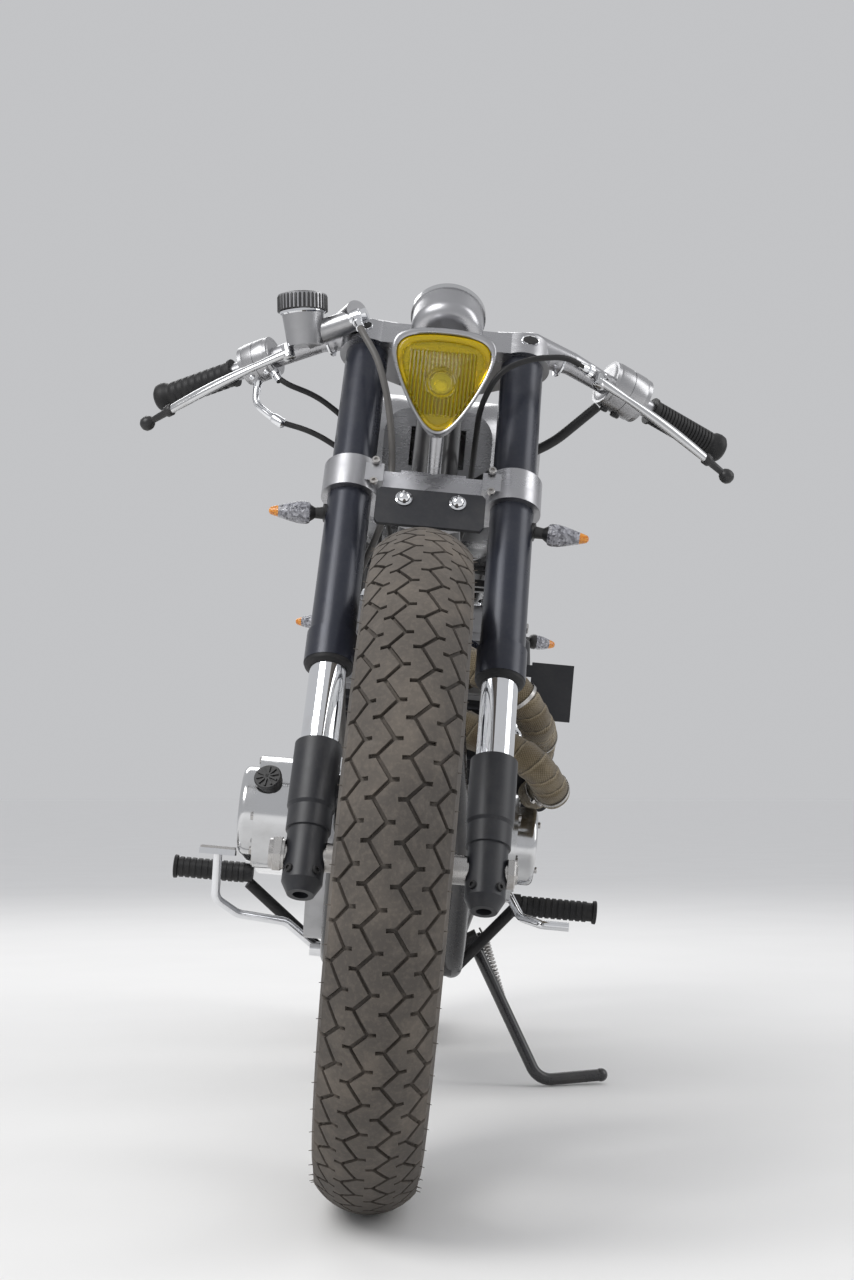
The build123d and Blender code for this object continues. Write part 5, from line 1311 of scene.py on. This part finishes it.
def engine_fittings():
    """Screws on the side covers, rocker nuts, plugs, straps, sump drum, oil cap's grip and fuel cap."""
    screws, bright, dark = blanks(3)
    for centre, way, reach, angles, radius, height in (
            ((-197.4, 660, 372), RIGHT, (68, 68), (95, 140, 185, 230, 270), 5.4, 4.6),
            ((-197.4, 775, 345), RIGHT, (56, 56), range(-75, 100, 50), 5.4, 4.6),
            ((149.4, 645, 358), LEFT, (59, 58), range(20, 380, 60), 5.2, 4.4),
            ((177.4, 645, 358), LEFT, (42, 42), range(45, 405, 90), 4.2, 3.6)):
        screw_circle(screws, centre, way, reach, angles, radius, height)
    for x in (-78, 0, 78):
        for y in (610, 734):
            lathe(bright, axis((x, y, HEAD_TOP), UP),
                  [(0, 10), (1.6, 10), (2, 7.4), (6, 7), (9, 4.6), (10, 1)], 20)
    intakes_and_ports(screws, bright, dark)
    spark_plugs(screws, dark)
    for y in (950, 1008):
        for low, high in (((-64, y, 593), (-62, y + 16, 737)), ((62, y, 593), (64, y + 16, 737)),
                          ((-64, y, 591.5), (64, y + 16, 593.5))):
            slab(dark, low, high)
    drum = axis((-30, 575, 300), (0, -42, -8))
    fluted(dark, drum, [(18, 33.6), (40, 32.2)], 24, 1.2)
    hexagon(screws, drum, 11, 42, 50)
    cap = axis((-184, 590, 418), (-6, -22, 14))
    lathe(dark, cap, [(-2, 18.6), (2, 18.6), (3.2, 17.2), (3.2, 3)], 40)
    for i in range(5):
        prism(dark, cap @ Matrix.Rotation(radians(36 * i), 4, "Z"),
              ((-1.2, -15), (1.2, -15), (1.2, 15), (-1.2, 15)), 3, 5.4)
    lathe(bright, axis((0, 561.2, 925.5), UP),
          [(0, 35), (2, 35), (3.2, 32.5), (9, 31.5), (13, 28.5), (14.6, 20), (15.2, 2)], 56)
    fit("engine_screws", screws, "frame", "steel")
    fit("engine_bright_fittings", bright, "frame", "chrome")
    fit("engine_dark_fittings", dark, "frame", "plastic")


def foot_pieces():
    """Ribbed rubbers on the pegs, ribs on the brake pedal and the side stand's spring."""
    pegs, pads, spring = blanks(3)
    for start, span, z, way in ((-217, 96, 283, RIGHT), (173, 102, 272, LEFT)):
        profile = [(0, 12), (0.5, 14.2), (5, 14.2)]
        for i in range(10):
            low = 8 + 8.6 * i
            profile += [(low, 12.9), (low, 14.4), (low + 5.4, 14.4), (low + 5.4, 12.9)]
        profile += [(span - 3, 13), (span - 2, 16), (span + 2, 16.5), (span + 3, 15), (span + 3.2, 2)]
        lathe(pegs, axis((start, 760, z), way), profile, 28)
    for i in range(6):
        slab(pads, (-268, 629 + 4 * i, 317.8), (-222, 631 + 4 * i, 320.6))
    high, low = Vector((126, 872, 222)), Vector((160, 826, 132))
    coil(spring, high, low, 6.5, 1.5, 22, 6, 12)
    pipe(spring, [high + Vector((-4, 8, 6)), high, high.lerp(low, 0.06)], 1.6, 8)
    pipe(spring, [low.lerp(high, 0.06), low, low + Vector((6, -6, -12))], 1.6, 8)
    fit("peg_rubbers", pegs, "frame", "rubber")
    fit("pedal_ribs", pads, "frame", "steel")
    stretch("stand_spring", spring, ("frame", "side_stand"), high, low, "steel")


def tail_pieces():
    """The rear indicators on their stalks, and the tail lamp's casing."""
    stalks, lenses, tips, casing = blanks(4)
    for side in (-1, 1):
        root, elbow, tip = (Vector((side * x, y, z))
                            for x, y, z in ((115, 1453, 712), (190, 1490, 702), (232, 1500, 700)))
        arm, lamp = axis(root, elbow - root), axis(elbow, tip - elbow)
        lathe(stalks, arm, [(-8, 9), (0, 9), (1, 6.2), ((elbow - root).length, 6.2)], 20)
        lathe(stalks, lamp, [(-6, 6), (-2, 11.5), (2, 13.2), (7, 13.4)], 24)
        lathe(lenses, lamp, [(7, 12.8), (13, 13), (22, 11.6), (32, 8.6)], 12)
        lathe(tips, lamp, [(32, 8.5), (38, 7), (42.5, 5), (44, 2)], 12)
    for z in (796.5, 832):
        slab(casing, (-48, 1478, z), (48, 1503.5, z + 3.5))
    for x in (-48, 45):
        slab(casing, (x, 1478, 800), (x + 3, 1503.5, 832))
    fit("tail_stalks", stalks, "frame", "plastic", "rear_indicators")
    fit("tail_indicator_lenses", lenses, "frame", "clear", smooth=12)
    fit("tail_indicator_tips", tips, "frame", "amber", smooth=12)
    fit("tail_lamp_casing", casing, "frame", "plastic")


# Stage and finishes of the carried-over nodes

SKY_COLOUR = (0.93, 0.95, 1.0)
EYE_SIDE, EYE_BACK, EYE_PITCH, EYE_YAW = 0.0574, -2.0015, radians(94.383), radians(-0.163)


def carried_nodes():
    for name, node in frame["nodes"].items():
        material = finish_named(NODE_FINISHES[name])
        if not node.data.materials:
            node.data.materials.append(material)
        for index in range(len(node.data.materials)):
            node.data.materials[index] = material


def pale_floor(colour):
    floor = bmesh.new()
    bmesh.ops.create_circle(floor, cap_ends=True, segments=96, radius=90.0)
    mesh = mesh_of("pale_floor", floor)
    mesh.shade_smooth()
    look = Finish("pale_floor", colour, 0.9, Specular_IOR_Level=0.1)
    look.set("Base Color", look.mix(look.noise(3.0, 6.0).ramp(0.3, 0.7) * 0.06, colour, (0.55, 0.54, 0.52)))
    mesh.materials.append(look.material)
    linked("pale_floor", mesh)


def sky(colour, strength):
    """Even light from all round, which the camera, gloss and glass see in the floor's colour."""
    scene = bpy.context.scene
    world = scene.world or bpy.data.worlds.new("studio")
    scene.world = world
    world.use_nodes = True
    nodes, links = world.node_tree.nodes, world.node_tree.links
    nodes.clear()
    out, rays, seen, glow, backdrop = (nodes.new("ShaderNode" + kind) for kind in (
        "OutputWorld", "LightPath", "MixShader", "Background", "Background"))
    for light, shade in ((glow, SKY_COLOUR), (backdrop, (a * b for a, b in zip(SKY_COLOUR, colour)))):
        light.inputs["Color"].default_value = (*shade, 1.0)
        light.inputs["Strength"].default_value = strength
    reached = rays.outputs["Is Camera Ray"]
    for kind in ("Is Glossy Ray", "Is Transmission Ray"):
        larger = nodes.new("ShaderNodeMath")
        larger.operation = "MAXIMUM"
        links.new(reached, larger.inputs[0])
        links.new(rays.outputs[kind], larger.inputs[1])
        reached = larger.outputs[0]
    for source, socket in ((reached, seen.inputs[0]), (glow.outputs[0], seen.inputs[1]),
                           (backdrop.outputs[0], seen.inputs[2]), (seen.outputs[0], out.inputs["Surface"])):
        links.new(source, socket)


def panels(power):
    """Three soft panels: the key in front, one at the side and one behind."""
    for name, place, target, size, share in (
            ("key_panel", (-2.2, -2.6, 3.4), (0, -0.3, 0.5), (2.2, 2.2), 1.0),
            ("side_panel", (3.2, -0.6, 2.2), (0, 0, 0.6), (1.6, 2.8), 0.32),
            ("back_panel", (-0.8, 3.2, 3.2), (0, 0.2, 0.6), (3.0, 1.6), 0.5)):
        light = bpy.data.lights.new(name, "AREA")
        light.shape = "RECTANGLE"
        light.size, light.size_y, light.energy = *size, power * share
        lamp = linked(name, light)
        lamp.location = place
        lamp.rotation_euler = (Vector(target) - Vector(place)).to_track_quat("-Z", "Y").to_euler()


def camera(lens, height):
    """The photograph's viewpoint, over the front tyre's foot."""
    data = bpy.data.cameras.new("photograph")
    data.sensor_fit, data.sensor_width, data.lens = "AUTO", 36.0, lens
    eye = linked("photograph", data)
    eye.location = HOME @ Vector((0, 0, 0)) + Vector((EYE_SIDE, EYE_BACK, height))
    eye.rotation_euler = (EYE_PITCH, 0, EYE_YAW)
    bpy.context.scene.camera = eye


# The add-on's parts

class CafeRacerStage(bpy.types.PropertyGroup):
    floor_colour: bpy.props.FloatVectorProperty(
        name="Floor colour", description="Colour of the floor and backdrop", subtype="COLOR", size=3,
        default=(0.78, 0.77, 0.75), min=0, max=1)
    sky: bpy.props.FloatProperty(
        name="Sky", description="Strength of the light from all round", default=0.75, min=0)
    key: bpy.props.FloatProperty(
        name="Key light", description="Power of the main panel", default=95.0, min=0, unit="POWER")
    lens: bpy.props.FloatProperty(
        name="Lens", description="Focal length of the camera, in millimetres", default=55.1, min=10)
    eye_height: bpy.props.FloatProperty(
        name="Eye height", description="Camera's height over the front tyre's foot", default=0.4165,
        unit="LENGTH")


class CafeRacerTyres(bpy.types.PropertyGroup):
    front_pitches: bpy.props.IntProperty(
        name="Front pitches", description="Zigzags round the front tread", default=58, min=20)
    rear_pitches: bpy.props.IntProperty(
        name="Rear pitches", description="Zigzags round the rear tread", default=56, min=20)


OPERATORS = []


def step(operator):
    """Adds an operator to those that run, in their order here."""
    OPERATORS.append(operator)
    return operator


@step
class OBJECT_OT_racer_stage(bpy.types.Operator):
    """Builds the floor, the lights and the camera"""
    bl_idname = "object.racer_stage"
    bl_label = "Stage"

    def execute(self, context):
        sizes = context.scene.cafe_racer_stage
        pale_floor(tuple(sizes.floor_colour))
        sky(sizes.floor_colour, sizes.sky)
        panels(sizes.key)
        camera(sizes.lens, sizes.eye_height)
        context.scene.view_settings.view_transform = "Standard"
        return {"FINISHED"}


@step
class OBJECT_OT_racer_finishes(bpy.types.Operator):
    """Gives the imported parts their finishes"""
    bl_idname = "object.racer_finishes"
    bl_label = "Finishes"

    def execute(self, context):
        carried_nodes()
        return {"FINISHED"}


@step
class OBJECT_OT_racer_tyres(bpy.types.Operator):
    """Builds both tyres with their treads"""
    bl_idname = "object.racer_tyres"
    bl_label = "Tyres"

    def execute(self, context):
        counts = context.scene.cafe_racer_tyres
        tyre("front", FRONT_AXLE, FRONT_RADIUS, FRONT_BEAD, counts.front_pitches)
        tyre("rear", REAR_AXLE, REAR_RADIUS, REAR_BEAD, counts.rear_pitches)
        return {"FINISHED"}


@step
class OBJECT_OT_racer_headlamp(bpy.types.Operator):
    """Builds the lamp's glass, rim and reflector"""
    bl_idname = "object.racer_headlamp"
    bl_label = "Headlamp"

    def execute(self, context):
        headlamp()
        return {"FINISHED"}


@step
class OBJECT_OT_racer_pipes(bpy.types.Operator):
    """Wraps the exhaust pipes"""
    bl_idname = "object.racer_pipes"
    bl_label = "Heat wrap"

    def execute(self, context):
        wrapped_pipes()
        return {"FINISHED"}


@step
class OBJECT_OT_racer_grips(bpy.types.Operator):
    """Builds the handlebar grips"""
    bl_idname = "object.racer_grips"
    bl_label = "Grips"

    def execute(self, context):
        grips()
        return {"FINISHED"}


@step
class OBJECT_OT_racer_levers(bpy.types.Operator):
    """Builds the brake and clutch levers"""
    bl_idname = "object.racer_levers"
    bl_label = "Levers"

    def execute(self, context):
        levers()
        return {"FINISHED"}


@step
class OBJECT_OT_racer_seat(bpy.types.Operator):
    """Builds the leather seat"""
    bl_idname = "object.racer_seat"
    bl_label = "Seat"

    def execute(self, context):
        seat()
        return {"FINISHED"}


@step
class OBJECT_OT_racer_fork(bpy.types.Operator):
    """Builds the fork's caps, seals and screws"""
    bl_idname = "object.racer_fork"
    bl_label = "Fork fittings"

    def execute(self, context):
        fork_fittings()
        return {"FINISHED"}


@step
class OBJECT_OT_racer_controls(bpy.types.Operator):
    """Builds the hose's ends, the reservoir's cap, and the housings on the bars"""
    bl_idname = "object.racer_controls"
    bl_label = "Brake and control fittings"

    def execute(self, context):
        brake_fittings()
        control_fittings()
        return {"FINISHED"}


@step
class OBJECT_OT_racer_dial(bpy.types.Operator):
    """Builds the instrument's face"""
    bl_idname = "object.racer_dial"
    bl_label = "Dial"

    def execute(self, context):
        instrument_face()
        return {"FINISHED"}


@step
class OBJECT_OT_racer_indicators(bpy.types.Operator):
    """Builds the front indicators"""
    bl_idname = "object.racer_indicators"
    bl_label = "Indicators"

    def execute(self, context):
        front_indicators()
        return {"FINISHED"}


@step
class OBJECT_OT_racer_cables(bpy.types.Operator):
    """Builds the control cables"""
    bl_idname = "object.racer_cables"
    bl_label = "Cables"

    def execute(self, context):
        cables()
        return {"FINISHED"}


@step
class OBJECT_OT_racer_wheels(bpy.types.Operator):
    """Builds nipples, valves and bolts"""
    bl_idname = "object.racer_wheels"
    bl_label = "Wheel fittings"

    def execute(self, context):
        wheel_fittings()
        return {"FINISHED"}


@step
class OBJECT_OT_racer_chain(bpy.types.Operator):
    """Builds the chain and the sprockets' teeth"""
    bl_idname = "object.racer_chain"
    bl_label = "Chain"

    def execute(self, context):
        chain()
        return {"FINISHED"}


@step
class OBJECT_OT_racer_shocks(bpy.types.Operator):
    """Builds the rear springs and dampers"""
    bl_idname = "object.racer_shocks"
    bl_label = "Shock absorbers"

    def execute(self, context):
        shocks()
        return {"FINISHED"}


@step
class OBJECT_OT_racer_engine(bpy.types.Operator):
    """Builds the engine's screws, caps and collars"""
    bl_idname = "object.racer_engine"
    bl_label = "Engine fittings"

    def execute(self, context):
        engine_fittings()
        return {"FINISHED"}


@step
class OBJECT_OT_racer_feet(bpy.types.Operator):
    """Builds the pegs' rubbers and the stand's spring"""
    bl_idname = "object.racer_feet"
    bl_label = "Foot pieces"

    def execute(self, context):
        foot_pieces()
        return {"FINISHED"}


@step
class OBJECT_OT_racer_tail(bpy.types.Operator):
    """Builds the rear indicators and the lamp's casing"""
    bl_idname = "object.racer_tail"
    bl_label = "Tail"

    def execute(self, context):
        tail_pieces()
        return {"FINISHED"}


class OBJECT_PT_cafe_racer(bpy.types.Panel):
    """Lists the cafe racer's sizes and steps."""
    bl_label = "Cafe Racer"
    bl_space_type = "VIEW_3D"
    bl_region_type = "UI"
    bl_category = "Cafe Racer"

    def draw(self, context):
        for group in (context.scene.cafe_racer_stage, context.scene.cafe_racer_tyres):
            for name in group.bl_rna.properties.keys():
                if name not in ("rna_type", "name"):
                    self.layout.prop(group, name)
        for item in OPERATORS:
            self.layout.operator(item.bl_idname)


CLASSES = [CafeRacerStage, CafeRacerTyres, *OPERATORS, OBJECT_PT_cafe_racer]


def register():
    for item in CLASSES:
        bpy.utils.register_class(item)
    bpy.types.Scene.cafe_racer_stage = bpy.props.PointerProperty(type=CafeRacerStage)
    bpy.types.Scene.cafe_racer_tyres = bpy.props.PointerProperty(type=CafeRacerTyres)


def unregister():
    del bpy.types.Scene.cafe_racer_stage
    del bpy.types.Scene.cafe_racer_tyres
    for item in reversed(CLASSES):
        bpy.utils.unregister_class(item)


def main():
    register()
    for item in OPERATORS:
        getattr(bpy.ops.object, item.bl_idname.split(".")[1])()


if __name__ == "__main__":
    main()
